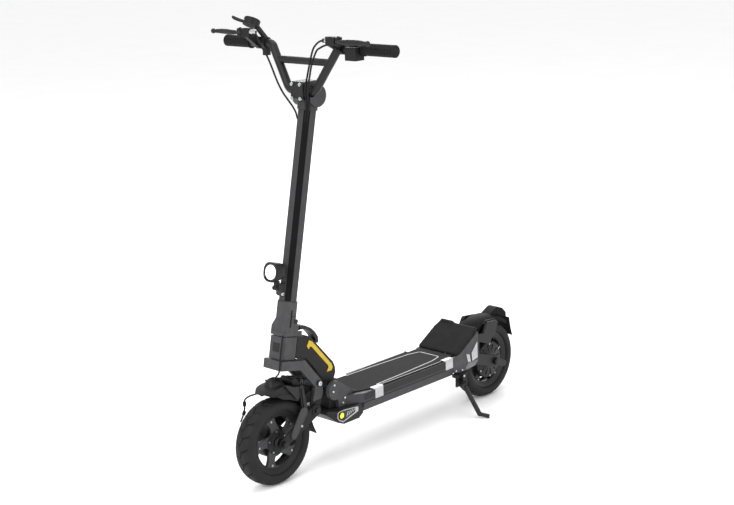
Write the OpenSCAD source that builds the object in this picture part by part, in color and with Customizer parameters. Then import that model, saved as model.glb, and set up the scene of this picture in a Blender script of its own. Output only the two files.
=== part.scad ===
// Folding electric kick scooter: front-suspended fork, sprung rear arm with hub motor,
// folding stem with loop latch, riser handlebar, drum brakes and a side stand.
// Front is -Y, the rider's left is +X, up is +Z. The origin is on the ground below the
// middle of the wheelbase.

/* [Wheels] */
// Distance between the wheel centres
wheelbase = 870; // [868:1:872]
// Outer radius of both tyres
tyre_r = 116; // [115.8:0.1:116]
// Half of the tyre width
tyre_hw = 29; // [27:0.5:29]

/* [Deck] */
// Half of the deck width
deck_hw = 76; // [74:1:77]
// Height of the deck shell's top face
deck_top = 188; // [187:0.5:188]
// Height of the deck shell's bottom face
deck_bottom = 136; // [135:0.5:137]

/* [Stem and bar] */
// Backward rake of the steering axis in degrees
rake = 11.7; // [11.6:0.05:11.8]
// Width of the stem tube across its flats
stem_af = 46; // [45:0.5:46.5]
// Height of the grips' centre line
grip_z = 1127; // [1125:1:1129]
// Half of the handlebar's overall width
bar_hw = 304; // [300:1:308]
// Radius of the handlebar tube
bar_r = 11; // [10.8:0.1:11.1]

/* [Which part] */
// Name of the sub-part to build, or all

/* [Hidden] */

axle_f = -wheelbase / 2;
axle_r = wheelbase / 2;
steer_y = -390.4;                 // foot of the steering axis, on the crown's top face
steer_z = 328.1;
fit = 0.05;                       // radial running clearance
gap = 0.3;                        // clearance between parts that pass each other
black = [0.09, 0.09, 0.10];
grey = [0.20, 0.20, 0.21];
silver = [0.72, 0.73, 0.75];

// front suspension, in the side view (y, z)
arm_pivot = [-314, 175];
spring_rear = [-293, 243];
spring_front = [-364, 262];
horn_top = [-363, 249.5];
// rear suspension, in the side view (y, z)
rear_pivot = [285, 165];
rear_bridge = [288, 198];
// fold hinge and latch, in the stem's own frame (n behind the axis, s along it)
fold_n = 12;
fold_s = 104;
latch_n = 40;
latch_s = 84;
lamp_n = -46;
lamp_s = 188;
bar_y = -273;                     // handlebar centre in the clamp
bar_z = 1016;
grip_y = -249;
stem_head_s = 688;
lever_left_at = [160, -298, 1149]; // pivots of the brake levers, the right one mirrored
lever_right_at = [196, -298, 1157];
display_at = [-186, -266, 1180];
display_tilt = -28;

// cable routes, points chosen along each real run
route_left_a = [[104.9, -296, 1149], [97, -299, 1147], [86, -302, 1139], [75, -304, 1124], [63, -305, 1090],
    [54, -305, 1062], [43, -302, 1036], [35, -297, 1016], [26, -287, 998], [19, -280, 982],
    [18.8, -281, 969], [14.9, -280.4, 952.8], [11.4, -280.2, 936.4], [7.1, -279.7, 917.9]];
route_left_b = [[118, -285, 1137], [108, -290, 1137], [95, -296, 1131], [83, -300, 1121], [69, -304, 1087],
    [60, -303, 1060], [51, -301, 1036], [42, -296, 1016], [32, -286, 998], [24, -276.5, 982],
    [22.9, -277.3, 969], [19, -276.4, 951.9], [15.5, -276.3, 935.5], [11.2, -275.7, 917]];
route_right = [[-140.9, -296, 1157], [-132, -299, 1150], [-120, -303, 1135], [-106, -304, 1118],
    [-90, -304, 1098], [-75, -304, 1071], [-58, -304, 1038], [-41, -303, 1012], [-26, -300, 993],
    [-15, -295, 976], [-13, -287, 960],
    [-16, -281, 948], [-14, -277, 934], [-9, -277, 915]];
// foot of each bar cable inside the stem
foot_left_a = [5, -364, 476];
foot_left_b = [12, -361, 476];
foot_right = [-7, -364, 476];
route_fork = [[25, -30, 68], [27, -32, 56], [27, -32.5, 30], [28, -33, 5], [33, -37, -8], [32, -37, -28],
    [24, -38, -40], [14, -37, -51]];
route_brake = [[-6, -460, 260], [-12, -474, 254], [-26, -487, 248], [-40, -490, 236],
    [-44.6, -488, 222], [-44.6, -489, 207], [-44.6, -496, 191], [-44.6, -505, 178]];

module steered() {
    translate([0, steer_y, steer_z]) rotate([-rake, 0, 0]) children();
}

module both() {
    children();
    mirror([1, 0, 0]) children();
}

// outline given in (y, z), extruded from x0 to x1
module side(x0, x1) {
    translate([x0, 0, 0]) rotate([90, 0, 90]) linear_extrude(x1 - x0) children();
}

// cylinder along X from x0 to x1 through the side-view point p
module pin(p, r, x0, x1, fn = 32) {
    translate([x0, p[0], p[1]]) rotate([0, 90, 0]) cylinder(r = r, h = x1 - x0, $fn = fn);
}

module rod(a, b, r, fn = 24) {
    d = b - a;
    len = norm(d);
    translate(a) rotate([0, acos(d[2] / len), atan2(d[1], d[0])]) cylinder(r = r, h = len, $fn = fn);
}

// flat link between two circles, with straight flanks
module link2d(a, b, ra, rb, fn = 32) {
    d = b - a;
    w = atan2(d[1], d[0]);
    k = acos((ra - rb) / norm(d));
    translate(a) circle(r = ra, $fn = fn);
    translate(b) circle(r = rb, $fn = fn);
    polygon([for (q = [[a, ra, w + k], [b, rb, w + k], [b, rb, w - k], [a, ra, w - k]])
        q[0] + q[1] * [cos(q[2]), sin(q[2])]]);
}

module rounded2d(x0, y0, x1, y1, r) {
    translate([x0 + r, y0]) square([x1 - x0 - 2 * r, y1 - y0]);
    translate([x0, y0 + r]) square([x1 - x0, y1 - y0 - 2 * r]);
    for (x = [x0 + r, x1 - r], y = [y0 + r, y1 - r]) translate([x, y]) circle(r = r, $fn = 32);
}

module octagon(af) {
    rotate(22.5) circle(r = af / 2 / cos(22.5), $fn = 8);
}

module octagon_bar(af, s0, s1) {
    translate([0, 0, s0]) linear_extrude(s1 - s0) octagon(af);
}

module block(p0, p1) {
    translate(p0) cube(p1 - p0);
}

// ring about the wheel axle through profile points (radius, x)
module ring(p, points, fn = 72) {
    translate([0, p[0], p[1]]) rotate([0, 90, 0]) rotate_extrude($fn = fn) polygon(points);
}

function unit(v) = v / norm(v);

// point at parameter t (0 to 1) between p[i] and p[i + 1] on a smooth curve through all points
function smooth(p, i, t) =
    let (a = p[max(i - 1, 0)], b = p[i], c = p[i + 1], d = p[min(i + 2, len(p) - 1)])
    0.5 * (2 * b + (c - a) * t + (2 * a - 5 * b + 4 * c - d) * t * t
        + (3 * b - a - 3 * c + d) * t * t * t);

function smooth_route(p, steps) = concat(
    [for (i = [0:len(p) - 2], k = [0:steps - 1]) smooth(p, i, k / steps)], [p[len(p) - 1]]);

// round tube swept through points; ref is a direction the tube never runs along
module tube(p, r, sides = 8, ref = [0.2, 1, 0.1]) {
    n = len(p);
    rings = [for (i = [0:n - 1])
        let (t = unit(p[min(i + 1, n - 1)] - p[max(i - 1, 0)]), u = unit(cross(t, ref)), v = cross(t, u))
        for (k = [0:sides - 1]) p[i] + r * (cos(360 * k / sides) * u + sin(360 * k / sides) * v)];
    walls = [for (i = [0:n - 2], k = [0:sides - 1])
        let (a = i * sides + k, b = i * sides + (k + 1) % sides) each [[a, b, b + sides],
            [a, b + sides, a + sides]]];
    polyhedron(rings, concat(walls, [[for (k = [sides - 1:-1:0]) k]],
        [[for (k = [0:sides - 1]) (n - 1) * sides + k]]), convexity = 6);
}

// coil between two points of the plane x, wound about the line that joins them
module coil(x, a, b, coil_r, wire_r, turns) {
    steps = turns * 14;
    d = b - a;
    len = norm(d);
    along = [0, d[0] / len, d[1] / len];
    across = [0, -along[2], along[1]];
    pts = [for (i = [0:steps]) [x, a[0], a[1]] + along * len * i / steps
        + coil_r * (cos(360 * i / 14) * [1, 0, 0] + sin(360 * i / 14) * across)];
    tube(pts, wire_r, 6, along);
}

// button-head screw along X: head outwards
module screw_x(x, p, r, h) {
    pin(p, r, x, x + h, 24);
}

module deck_section(hw, inset, z0, z1) {
    polygon([[-hw, z1], [-hw, z0 + inset * 3.4], [-hw + inset, z0], [hw - inset, z0],
        [hw, z0 + inset * 3.4], [hw, z1]]);
}

module along_y(y0, y1) {
    translate([0, y1, 0]) rotate([90, 0, 0]) linear_extrude(y1 - y0) children();
}

// ---------- deck and frame ----------

module deck_shell() {
    color(grey) {
        difference() {
            along_y(-165, 212) deck_section(deck_hw, 6.5, deck_bottom, deck_top);
            along_y(-166, 213) deck_section(deck_hw - 5, 6, deck_bottom + 5, deck_top - 5);
            // pockets of the bottom bolts
            for (x = [-45, 45], y = [-150, 0, 150]) translate([x, y, deck_bottom - 1])
                cylinder(r = 4.3, h = 3.2, $fn = 24);
        }
        // tapered front of the upper deck with its floor
        difference() {
            translate([0, 0, 162]) linear_extrude(deck_top - 162)
                polygon([[-deck_hw, -165], [-50, -208], [50, -208], [deck_hw, -165]]);
            block([-36.2, -215, 150], [36.2, -165.5, 184]);
        }
    }
}

module deck_mat() {
    color(black) difference() {
        translate([0, 0, deck_top]) linear_extrude(3)
            polygon([[-62, 224], [-deck_hw + 3, 205], [-deck_hw + 3, -112], [-60, -149], [-37.5, -150],
                [-37.5, -196], [37.5, -196], [37.5, -150], [60, -149], [deck_hw - 3, -112],
                [deck_hw - 3, 205], [62, 224]]);
        // the corner trims lie in notches of the mat
        for (m = [0, 1]) mirror([m, 0, 0])
            for (y = [-128, 168]) block([61.7, y - 0.3, deck_top - 1], [80, y + 38.3, deck_top + 5]);
    }
}

module deck_trims() {
    // thin angle plates on the deck's four upper corners
    color(silver) both() for (y = [-128, 168]) {
        block([62, y, deck_top], [deck_hw + 1.5, y + 38, deck_top + 3.5]);
        block([deck_hw, y + 6, deck_top - 27], [deck_hw + 1.5, y + 38, deck_top + 1]);
    }
}

module deck_fasteners() {
    color(silver) both() {
        for (p = [[-257, 212], [-214, 184], [-222, 172], [-252, 229]]) screw_x(50, p, 3, 2.4);
        for (p = [[250, 142], [222, 146]]) screw_x(74, p, 3, 2);
        pin(rear_pivot, 10, 54.4, 59, 6);
    }
    color(silver) pin(rear_pivot, 6, -54.4, 54.4);
    color(silver) for (x = [-45, 45], y = [-150, 0, 150]) translate([x, y, deck_bottom + 0.2])
        cylinder(r = 4, h = 1.8, $fn = 24);
}

module battery_pack() {
    color([0.15, 0.25, 0.5]) block([-62, -150, deck_bottom + 5], [62, 80, 178]);
}

module motor_controller() {
    color(silver) {
        block([-45, 96, deck_bottom + 5], [45, 190, 149]);
        for (x = [-42:12:42]) block([x - 1.5, 96, 148.5], [x + 1.5, 190, 172]);
    }
}

module nose_housing() {
    color(grey) difference() {
        intersection() {
            side(-72, 72) polygon([[-280, 160], [-280, 150], [-262, 130], [-240, 121], [-182, 121],
                [-165.3, 132], [-165.3, 161.7], [-274, 161.7]]);
            translate([0, 0, 110]) linear_extrude(60)
                polygon([[-44, -281], [44, -281], [70.6, -262], [70.6, -165], [-70.6, -165],
                    [-70.6, -262]]);
        }
        // seats of the side lamps
        both() pin([-248, 147], 12.2, 64, 80);
        block([-40, -255, 128], [40, -175, 170]);
    }
}

module signal_bezels() {
    color(silver) both() {
        difference() {
            side(70.6, 73.5) polygon([[-262, 158], [-262, 140], [-246, 126], [-190, 143],
                [-188, 158], [-232, 160]]);
            pin([-248, 147], 12.2, 64, 80);
        }
        side(74.2, 76.4) polygon([[322, 214], [323, 164], [308, 146], [286, 146], [282, 166],
            [296, 172]]);
    }
}

module signal_lenses() {
    color([0.95, 0.85, 0.1]) both() pin([-248, 147], 12, 64, 74.5, 40);
}

module charge_port() {
    color(black) translate([-deck_hw - 2, 120, 171]) rotate([0, 90, 0]) difference() {
        cylinder(r = 10, h = 2, $fn = 32);
        translate([0, 0, -1]) cylinder(r = 4, h = 4, $fn = 24);
    }
}

module neck_plate_outline() {
    translate([-246, 212]) circle(r = 26, $fn = 48);
    polygon([[-268, 198], [-258, 189.5], [-240, 186], [-236, 162.2], [-152, 162.2], [-152, 186],
        [-178, 195], [-231, 233.4]]);
}

module neck_plates() {
    color(grey) both() difference() {
        side(38, 50) neck_plate_outline();
        block([30, -208.2, 150], [60, -140, deck_top + 0.2]);
    }
}

// casting from the head block down to the deck, outline in the stem's frame
module neck_beam() {
    color(black) {
        steered() side(-25, 25) polygon([[25, 5.5], [64, 5.5], [151, -66], [163, -92], [206, -92],
            [178, -56], [182, -40], [178, -24], [168, -10], [71, 62], [25, 62]]);
        side(-38, 38) polygon([[-262, 200], [-262, 162], [-208.5, 162], [-208.5, 185], [-212, 208],
            [-222, 224], [-248, 224]]);
        side(-36, 36) polygon([[-210, 163], [-172, 163], [-172, 183.7], [-210, 183.7]]);
    }
}

module head_block() {
    color(grey) steered() difference() {
        translate([0, 0, 2]) linear_extrude(60) difference() {
            rounded2d(-25, -25, 25, 25, 3);
            // vertical seams between the front plate and the side blocks
            for (x = [-26, 24]) translate([x, -21]) square([2, 2]);
        }
        translate([0, 0, -1]) cylinder(r = 16, h = 70, $fn = 48);
        for (s = [1, 50]) translate([0, 0, s]) cylinder(r = 20, h = 13, $fn = 48);
    }
}

module reflector_strips() {
    color([0.93, 0.75, 0.08]) steered() both() side(25, 26.2)
        polygon([[62, 36], [68, 52], [79, 49], [161, -14], [168, -24], [166, -33], [147, -37], [152, -26],
            [151, -20], [80, 34], [73, 35], [70, 28]]);
}

module steering_bearings() {
    color(silver) steered() for (s = [2, 50]) translate([0, 0, s]) difference() {
        cylinder(r = 20, h = 12, $fn = 48);
        translate([0, 0, -1]) cylinder(r = 14 + fit, h = 14, $fn = 48);
    }
}

module footrest() {
    color(black) intersection() {
        side(-73, 73) polygon([[226, 191.3], [238, 191.3], [328, 242], [331, 249], [322, 251.5],
            [230, 198]]);
        linear_extrude(260) polygon([[-73, 226], [73, 226], [73, 300], [66, 331], [-66, 331], [-73, 300]]);
    }
}

module rear_fairing() {
    color(grey) both() difference() {
        side(66, 74) polygon([[213, 142], [240, 136.3], [262.4, 136.3], [309, 140], [325, 152],
            [325, 239.8], [322, 238.5], [239, 191.1], [213, 187.8]]);
        pin(rear_pivot, 13, 60, 70.5);
    }
    // cross panel that closes the deck shell's rear end
    color(grey) block([-66, 212, 141], [66, 216, deck_top]);
}

module rear_bracket() {
    color(grey) {
        both() difference() {
            side(30, 38) polygon([[216, 146], [270, 146], [292, 152], [297, 165], [292, 176], [216, 182]]);
            pin(rear_pivot, 6, 20, 60);
        }
        block([-38, 216, 146], [38, 221, 182]);
        // seat of the rear spring
        pin([228, 170], 4, -30, 30);
    }
}

module kick_bracket() {
    color(grey) difference() {
        union() {
            block([64, 216, 126], [84, 262, 136]);
            block([74.3, 218, 98], [79.3, 258, 126]);
            side(87.3, 92.3) link2d([240, 127.8], [243, 110], 8, 8.5, 32);
            block([84, 232, 128], [92.3, 248, 135.8]);
        }
        pin([243, 110], 4, 60, 100, 24);
    }
    color(silver) pin([243, 110], 4, 72, 95, 24);
}

module kickstand() {
    color(black) {
        difference() {
            union() {
                side(79.6, 87) link2d([243, 110], [250, 94], 9, 7, 24);
                rod([83.3, 250, 94], [122, 268, 12], 7, 20);
                translate([122, 268, 12]) sphere(r = 7, $fn = 20);
                rod([122, 268, 12], [146, 284, 6], 6, 20);
            }
            pin([243, 110], 4 + fit, 70, 100, 24);
            translate([60, 200, -20]) cube([120, 120, 20]);
        }
    }
}

// ---------- steered fork ----------

module fork_leg_outline() {
    // bent leg from the crown's rear down to the arm pivot, in (y, z)
    polygon([[-349, 320], [-340, 319], [-281, 247], [-278, 214], [-289, 195], [-302, 168], [-330, 168],
        [-318, 195], [-306, 236], [-358, 297]]);
    translate(arm_pivot) circle(r = 15, $fn = 40);
}

module fork_crown() {
    color(grey) difference() {
        union() {
            steered() translate([0, 0, -25]) linear_extrude(25)
                polygon([[-33, -32], [33, -32], [34, 46], [-34, 46]]);
            both() side(25, 34) fork_leg_outline();
        }
        steered() translate([0, 0, -30]) cylinder(r = 14, h = 40, $fn = 48);
        steered() translate([32, -36, -30]) cylinder(r = 6, h = 40, $fn = 24);
        pin(arm_pivot, 5, -60, 60);
        pin(spring_rear, 5, -60, 60);
        // opening between the legs
        side(-25, 25) polygon([[-349, 290], [-280, 215], [-280, 150], [-350, 150]]);
    }
}

module steerer() {
    color(silver) steered() {
        translate([0, 0, -24]) cylinder(r = 14, h = 98, $fn = 48);
        translate([0, 0, 0]) cylinder(r = 18, h = 1.6, $fn = 48);
        translate([0, 0, 62.6]) cylinder(r = 18, h = 2, $fn = 48);
    }
}

// corners that run out from the stem's square foot into its octagon
module foot_corners() {
    for (k = [0:3]) rotate([0, 0, 45 + 90 * k])
        side(-30, 30) polygon([[35.5, 76], [35.5, 88], [26, 108], [26, 156], [45, 156], [45, 76]]);
}

module hinge_base() {
    color(grey) steered() difference() {
        union() {
            translate([0, 0, 64.7]) linear_extrude(10.3) rounded2d(-26, -26, 26, 26, 3);
            block([-18, 20, 64.7], [18, 46, 75]);
            both() {
                // cheeks that hold the fold pin
                side(19, 26) {
                    polygon([[-8, 74], [26, 74], [26, fold_s], [fold_n, fold_s + 14], [-2.6, fold_s + 14],
                        [-8, fold_s + 2.5]]);
                    translate([fold_n, fold_s]) circle(r = 14, $fn = 48);
                }
                // ears that hold the latch pin
                side(13, 18) {
                    polygon([[30, 74], [46, 74], [46, latch_s], [34, latch_s]]);
                    translate([latch_n, latch_s]) circle(r = 6, $fn = 32);
                }
            }
        }
        translate([0, 0, 60]) cylinder(r = 14, h = 20, $fn = 48);
        pin([fold_n, fold_s], 4, -40, 40);
        pin([latch_n, latch_s], 3, -40, 40);
        block([-8, 14.8, 68.5], [8, 47, 80]);
        block([-12.5, 30, 73], [12.5, 47, 80]);
        foot_corners();
        // the brake cable leaves through the front left corner
        translate([24.5, -29, 60]) cylinder(r = 4.5, h = 20, $fn = 24);
    }
}

module fork_bolts() {
    color(silver) {
        pin(arm_pivot, 5, -47.5, 47.5);
        both() pin(arm_pivot, 9, 46.5, 50.5, 6);
        pin(spring_rear, 5, -34, 34);
        both() pin(spring_rear, 8, 34, 38.5, 32);
        steered() pin([fold_n, fold_s], 4, -26, 26);
        steered() both() pin([fold_n, fold_s], 6, 26, 27.8, 32);
        steered() pin([latch_n, latch_s], 3, -19, 19);
    }
}

module fork_cable() {
    color(black) steered() tube(smooth_route(route_fork, 3), 2.3, 8, [1, 0.2, 0]);
}

module fender_outline(lift) {
    polygon([[-479, 262], [-459, 267.5], [-452, 272 + lift], [-420, 273 + lift], [-395, 262 + lift / 2],
        [-366, 243.5], [-341, 210], [-332, 186], [-328, 172], [-330, 170], [-336, 186], [-346, 208],
        [-369, 239], [-395, 257.5], [-420, 266], [-456, 265], [-479, 258.5]]);
}

module front_fender() {
    color(black) {
        intersection() {
            side(-33, 33) fender_outline(10);
            // crown of the shell narrows towards its top
            along_y(-520, -310) polygon([[-33, 150], [33, 150], [33, 262], [16, 284], [-16, 284],
                [-33, 262]]);
            linear_extrude(300) polygon([[-13, -479], [13, -479], [33, -454], [33, -346], [24.6, -336],
                [24.6, -310], [-24.6, -310], [-24.6, -336], [-33, -346], [-33, -454]]);
        }
        // skirts beside the tyre
        both() side(31, 33.4) polygon([[-456, 263], [-450, 246], [-424, 232], [-398, 224], [-371, 212],
            [-356, 228], [-366, 242], [-395, 259], [-420, 268], [-452, 268]]);
        // bridge that bolts the shell to the inner faces of the fork's legs
        side(-25, 25) polygon([[-345.5, 209], [-337.5, 193], [-302, 198], [-302, 216], [-311, 225],
            [-326, 225], [-343, 213]]);
    }
}

module front_flap() {
    // hangs from the fender's rear end, ahead of the arm pivot bolt
    color(black) side(-24.6, 24.6) polygon([[-329.2, 187.4], [-324.9, 174], [-321.6, 165], [-316, 152],
        [-311, 138], [-306, 122], [-297, 101], [-300, 99], [-309, 121], [-314, 137], [-319, 151],
        [-325, 165], [-327.9, 172.1], [-331.9, 186.4]]);
}

// ---------- front suspension arm ----------

module front_arm() {
    color(black) {
        both() difference() {
            side(36, 46) {
                link2d(arm_pivot, [axle_f, tyre_r], 17, 14, 48);
                link2d([-352, 170], horn_top, 12, 8, 40);
                polygon([[-371, 236], [-379, 222], [-404, 251], [-417, 266], [-417, 273], [-383, 251],
                    [-368, 246]]);
            }
            pin(arm_pivot, 5 + fit, 30, 60);
            pin([axle_f, tyre_r], 6, 30, 60);
        }
        pin(horn_top, 5.5, -37, 37, 32);
        // saddle that carries the spring feet above the cross tube
        side(-24, 24) link2d([-370, 265], horn_top, 10, 5.4, 48);
        both() pin([-373, 148], 4, 46, 48.5, 24);
    }
}

module front_axle() {
    color(silver) {
        pin([axle_f, tyre_r], 6, -50, 50);
        both() pin([axle_f, tyre_r], 10, 46, 52, 6);
        pin([axle_f, tyre_r], 8.5, 31, 36, 32);
    }
}

module front_springs() {
    d = unit(spring_rear - spring_front);
    color(silver) both() coil(12.9, spring_front + 8 * d, spring_rear - 7.5 * d, 10, 1.9, 6);
}

module drum_plate() {
    color(grey) difference() {
        union() {
            pin([axle_f, tyre_r], 40, -28, -24.6, 64);
            pin([axle_f, tyre_r], 16, -36, -28, 48);
            pin([-462, 142], 8, -31, -28, 32);
        }
        pin([axle_f, tyre_r], 6, -40, 0);
        pin([-462, 142], 4, -40, 0, 24);
    }
}

module front_brake_arm() {
    color(silver) {
        side(-42, -38) link2d([-462, 142], [-502, 172], 8, 6, 32);
        pin([-462, 142], 4 - fit, -38, -24.8, 24);
    }
}

module brake_cable_front() {
    color(black) tube(smooth_route(route_brake, 3), 2.3, 8, [0.1, 0.2, 1]);
}

// ---------- wheels ----------

function tyre_profile(hw, bead_r) = [[bead_r, -hw + 8], [bead_r + 6, -hw + 1.5], [tyre_r - 20, -hw],
    [tyre_r - 10, -hw + 2], [tyre_r - 4, -hw + 7], [tyre_r - 1, -hw + 13], [tyre_r, -hw + 20],
    [tyre_r, hw - 20], [tyre_r - 1, hw - 13], [tyre_r - 4, hw - 7], [tyre_r - 10, hw - 2],
    [tyre_r - 20, hw], [bead_r + 6, hw - 1.5], [bead_r, hw - 8], [bead_r, hw - 12],
    [bead_r + 12, hw - 6], [tyre_r - 12, hw - 8], [tyre_r - 9, 0], [tyre_r - 12, -hw + 8],
    [bead_r + 12, -hw + 6], [bead_r, -hw + 12]];

function rim_profile() = [[70, -16], [82, -20.8], [84, -20.8], [84, 20.8], [82, 20.8], [70, 16],
    [72, 14], [78, 11], [78, -11], [72, -14]];

module front_tyre() {
    color(black) ring([axle_f, tyre_r], tyre_profile(tyre_hw, 84), 96);
}

module front_rim() {
    color(grey) difference() {
        union() {
            ring([axle_f, tyre_r], rim_profile(), 96);
            // five broad spokes around the hub
            for (k = [0:4]) translate([0, axle_f, tyre_r]) rotate([72 * k + 20, 0, 0])
                side(4, 13.8) polygon([[-10, 22], [-8, 48], [-15, 71], [-6, 75], [12, 74], [15, 68],
                    [11, 46], [13, 22]]);
            pin([axle_f, tyre_r], 34, 2, 14.3, 48);
            pin([axle_f, tyre_r], 20, -16, 28, 48);
            // brake drum on the right side
            ring([axle_f, tyre_r], [[38, -23.6], [44, -23.6], [44, 6], [18, 6], [18, 2.5], [38, 0]], 64);
        }
        pin([axle_f, tyre_r], 13, -17, -8, 48);
        pin([axle_f, tyre_r], 13, 20, 29, 48);
        pin([axle_f, tyre_r], 9, -20, 40, 32);
    }
    color(silver) for (k = [0:4]) translate([0, axle_f, tyre_r]) rotate([72 * k + 20, 0, 0])
        pin([1, 62], 3, 13.8, 16, 20);
}

module front_bearings() {
    color(silver) for (x = [-16, 20]) translate([x, axle_f, tyre_r]) rotate([0, 90, 0]) difference() {
        cylinder(r = 13, h = 8, $fn = 48);
        translate([0, 0, -1]) cylinder(r = 6 + fit, h = 10, $fn = 32);
    }
}

module rear_wheel() {
    c = [axle_r, tyre_r];
    color(grey) difference() {
        union() {
            ring(c, rim_profile(), 96);
            // motor shell with its two covers
            ring(c, [[50.5, -21], [56, -21], [56, 21], [50.5, 21]], 64);
            ring(c, [[9, 21], [56, 21], [54, 26], [24, 30], [9, 30]], 64);
            ring(c, [[9, -21], [56, -21], [54, -26], [24, -30], [9, -30]], 64);
            for (k = [0:4]) translate([0, c[0], c[1]]) rotate([72 * k + 8, 0, 0])
                side(-8, 12) polygon([[-9, 54], [-12, 74], [12, 76], [9, 54]]);
        }
        pin(c, 8 + fit, -40, 40);
    }
    color(silver) for (k = [0:5]) translate([0, c[0], c[1]]) rotate([60 * k, 0, 0])
        both() pin([0, 44], 2.6, 27, 29.5, 20);
    color(black) ring(c, tyre_profile(tyre_hw, 84), 96);
}

module motor_stator() {
    c = [axle_r, tyre_r];
    color(silver) {
        pin(c, 8, -60, 60);
        both() pin(c, 12, 52.3, 59, 6);
        both() pin(c, 11, 34, 42, 32);
        // drum brake anchor on the right side
        pin(c, 26, -42, -34, 48);
    }
    color([0.6, 0.3, 0.1]) difference() {
        pin(c, 46, -18, 18, 64);
        for (k = [0:8]) translate([0, c[0], c[1]]) rotate([40 * k, 0, 0])
            pin([0, 38], 5, -20, 20, 16);
    }
}

// ---------- rear suspension arm ----------

module rear_arm() {
    color(grey) {
        both() difference() {
            side(42.3, 50.3) {
                link2d(rear_pivot, [axle_r, tyre_r], 17, 16, 48);
                link2d([axle_r, tyre_r], [478, 98], 14, 9, 40);
                link2d(rear_pivot, rear_bridge, 12, 8, 32);
                // wing that carries the fender
                polygon([[338, 145], [338, 204], [355, 220], [380, 216], [398, 243], [403, 247], [443, 242],
                    [449, 235], [436, 206], [420, 192], [407, 177], [359, 195], [359, 138]]);
            }
            pin(rear_pivot, 6 + fit, 30, 60);
            pin([axle_r, tyre_r], 8, 30, 60);
        }
        pin(rear_bridge, 6, -43, 43);
    }
}

module rear_spring() {
    a = [228, 170];
    d = unit(rear_bridge - a);
    color(silver) coil(0, a + 8 * d, rear_bridge - 9 * d, 8.5, 2.2, 5);
}

module rear_fender() {
    c = [axle_r, tyre_r];
    color(black) {
        // shell over the tyre
        intersection() {
            ring(c, [[128, -38], [132, -38], [137, -26], [139, 0], [137, 26], [132, 38], [128, 38],
                [133, 25], [135, 0], [133, -25]], 96);
            side(-40, 40) polygon([[axle_r, tyre_r], [axle_r - 130, tyre_r + 185],
                [axle_r + 60, tyre_r + 185], [axle_r + 130, tyre_r + 110]]);
        }
        // stays that bolt the shell to the arm's wings
        both() side(36, 42) polygon([[392, 240], [402, 251], [446, 246], [446, 236], [404, 236]]);
        // tail lamp body and rear flap
        side(-18, 18) polygon([[450, 250], [482, 266], [492, 267], [514, 258], [530, 242], [531, 222],
            [525, 219], [518, 227], [486, 243]]);
        side(-28, 28) polygon([[535, 222], [541, 222], [551, 166], [546, 166], [536, 190],
            [531, 214]]);
    }
    color([0.7, 0.05, 0.05]) side(-14, 14) polygon([[517, 257.5], [532.5, 241.5], [530, 239], [514, 255]]);
}

// ---------- folding stem ----------

module fold_lever() {
    color(black) steered() difference() {
        union() {
            side(-12, 12) {
                translate([latch_n, latch_s]) circle(r = 6.5, $fn = 40);
                polygon([[38, 90.3], [62, 89], [84, 82], [101, 71], [114, 58], [117, 48], [116, 41],
                    [106, 41], [106, 48], [102, 55], [94, 63], [80, 73], [62, 79.5], [46, 79]]);
            }
            side(-6.5, 6.5) polygon([[16, 76.2], [16, 80.8], [18, 81.1], [24, 82.6], [26, 79.6], [36, 79.6],
                [44, 86], [44, 78], [36, 76.2]]);
        }
        pin([latch_n, latch_s], 3 + fit, -20, 20);
    }
}

module stem_sleeve() {
    color(grey) steered() difference() {
        block([-26, -26, 75.4], [26, 26, 154]);
        foot_corners();
        // clearance around the hinge cheeks
        both() block([18.7, -8.4, 70], [40, 40, fold_s + 14.5]);
        block([-19, -8.4, 70], [19, 30, 80]);
        pin([fold_n, fold_s], 4 + fit, -40, 40);
        // the foot is round about the fold pin where the latch's nose bears on it
        side(-19, 19) difference() {
            translate([fold_n, 70]) square([20, fold_s - 70]);
            translate([fold_n, fold_s]) circle(r = 22, $fn = 96);
        }
        // socket of the stem tube
        octagon_bar(stem_af, 124, 160);
        // the brake cable leaves through the front left corner
        translate([24.5, -29, 70]) cylinder(r = 4.5, h = 22, $fn = 24);
    }
}

module stem_tube() {
    color(black) steered() difference() {
        octagon_bar(stem_af, 124, 668);
        octagon_bar(stem_af - 7, 123, 669);
        // recessed channel down the front left face
        rotate([0, 0, 45]) block([-8, -30, 156], [8, -stem_af / 2 + 1.6, 648]);
        // cable mouths at the top of the front left and front right faces
        rotate([0, 0, 45]) block([-6, -30, 606], [6, -14, 640]);
        rotate([0, 0, -45]) block([-5, -30, 606], [5, -14, 640]);
    }
}

module stem_head() {
    color(grey) difference() {
        union() {
            steered() octagon_bar(52, 650, 676);
            steered() pin([0, stem_head_s], 29, -34, 34, 64);
            block([-22, bar_y, 992], [22, -240, 1040]);
            block([-20, -262, 1030], [20, -222, 1037]);
        }
        steered() octagon_bar(stem_af, 640, 668);
        pin([bar_y, bar_z], 16, -50, 50, 48);
        // seat of the clamp plate
        block([-22.3, -300, 991.7], [22.3, bar_y - 1.2, 1045]);
    }
}

module clamp_plate() {
    color(black) difference() {
        side(-22, 22) polygon([[bar_y - 1.5, 992], [bar_y - 1.5, 1040], [-288, 1040], [-294, 1034],
            [-294, 998], [-288, 992]]);
        pin([bar_y, bar_z], 16, -50, 50, 48);
    }
}

module clamp_bolts() {
    color(silver) for (x = [-14.5, 14.5], z = [998, 1034])
        translate([x, -294, z]) rotate([90, 0, 0]) difference() {
            cylinder(r = 4.5, h = 4, $fn = 24);
            translate([0, 0, 2]) cylinder(r = 2.4, h = 3, $fn = 6);
        }
}

bar_low = [46, bar_y, bar_z];
bar_high = [120, grip_y - 8, grip_z + 1];

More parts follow.
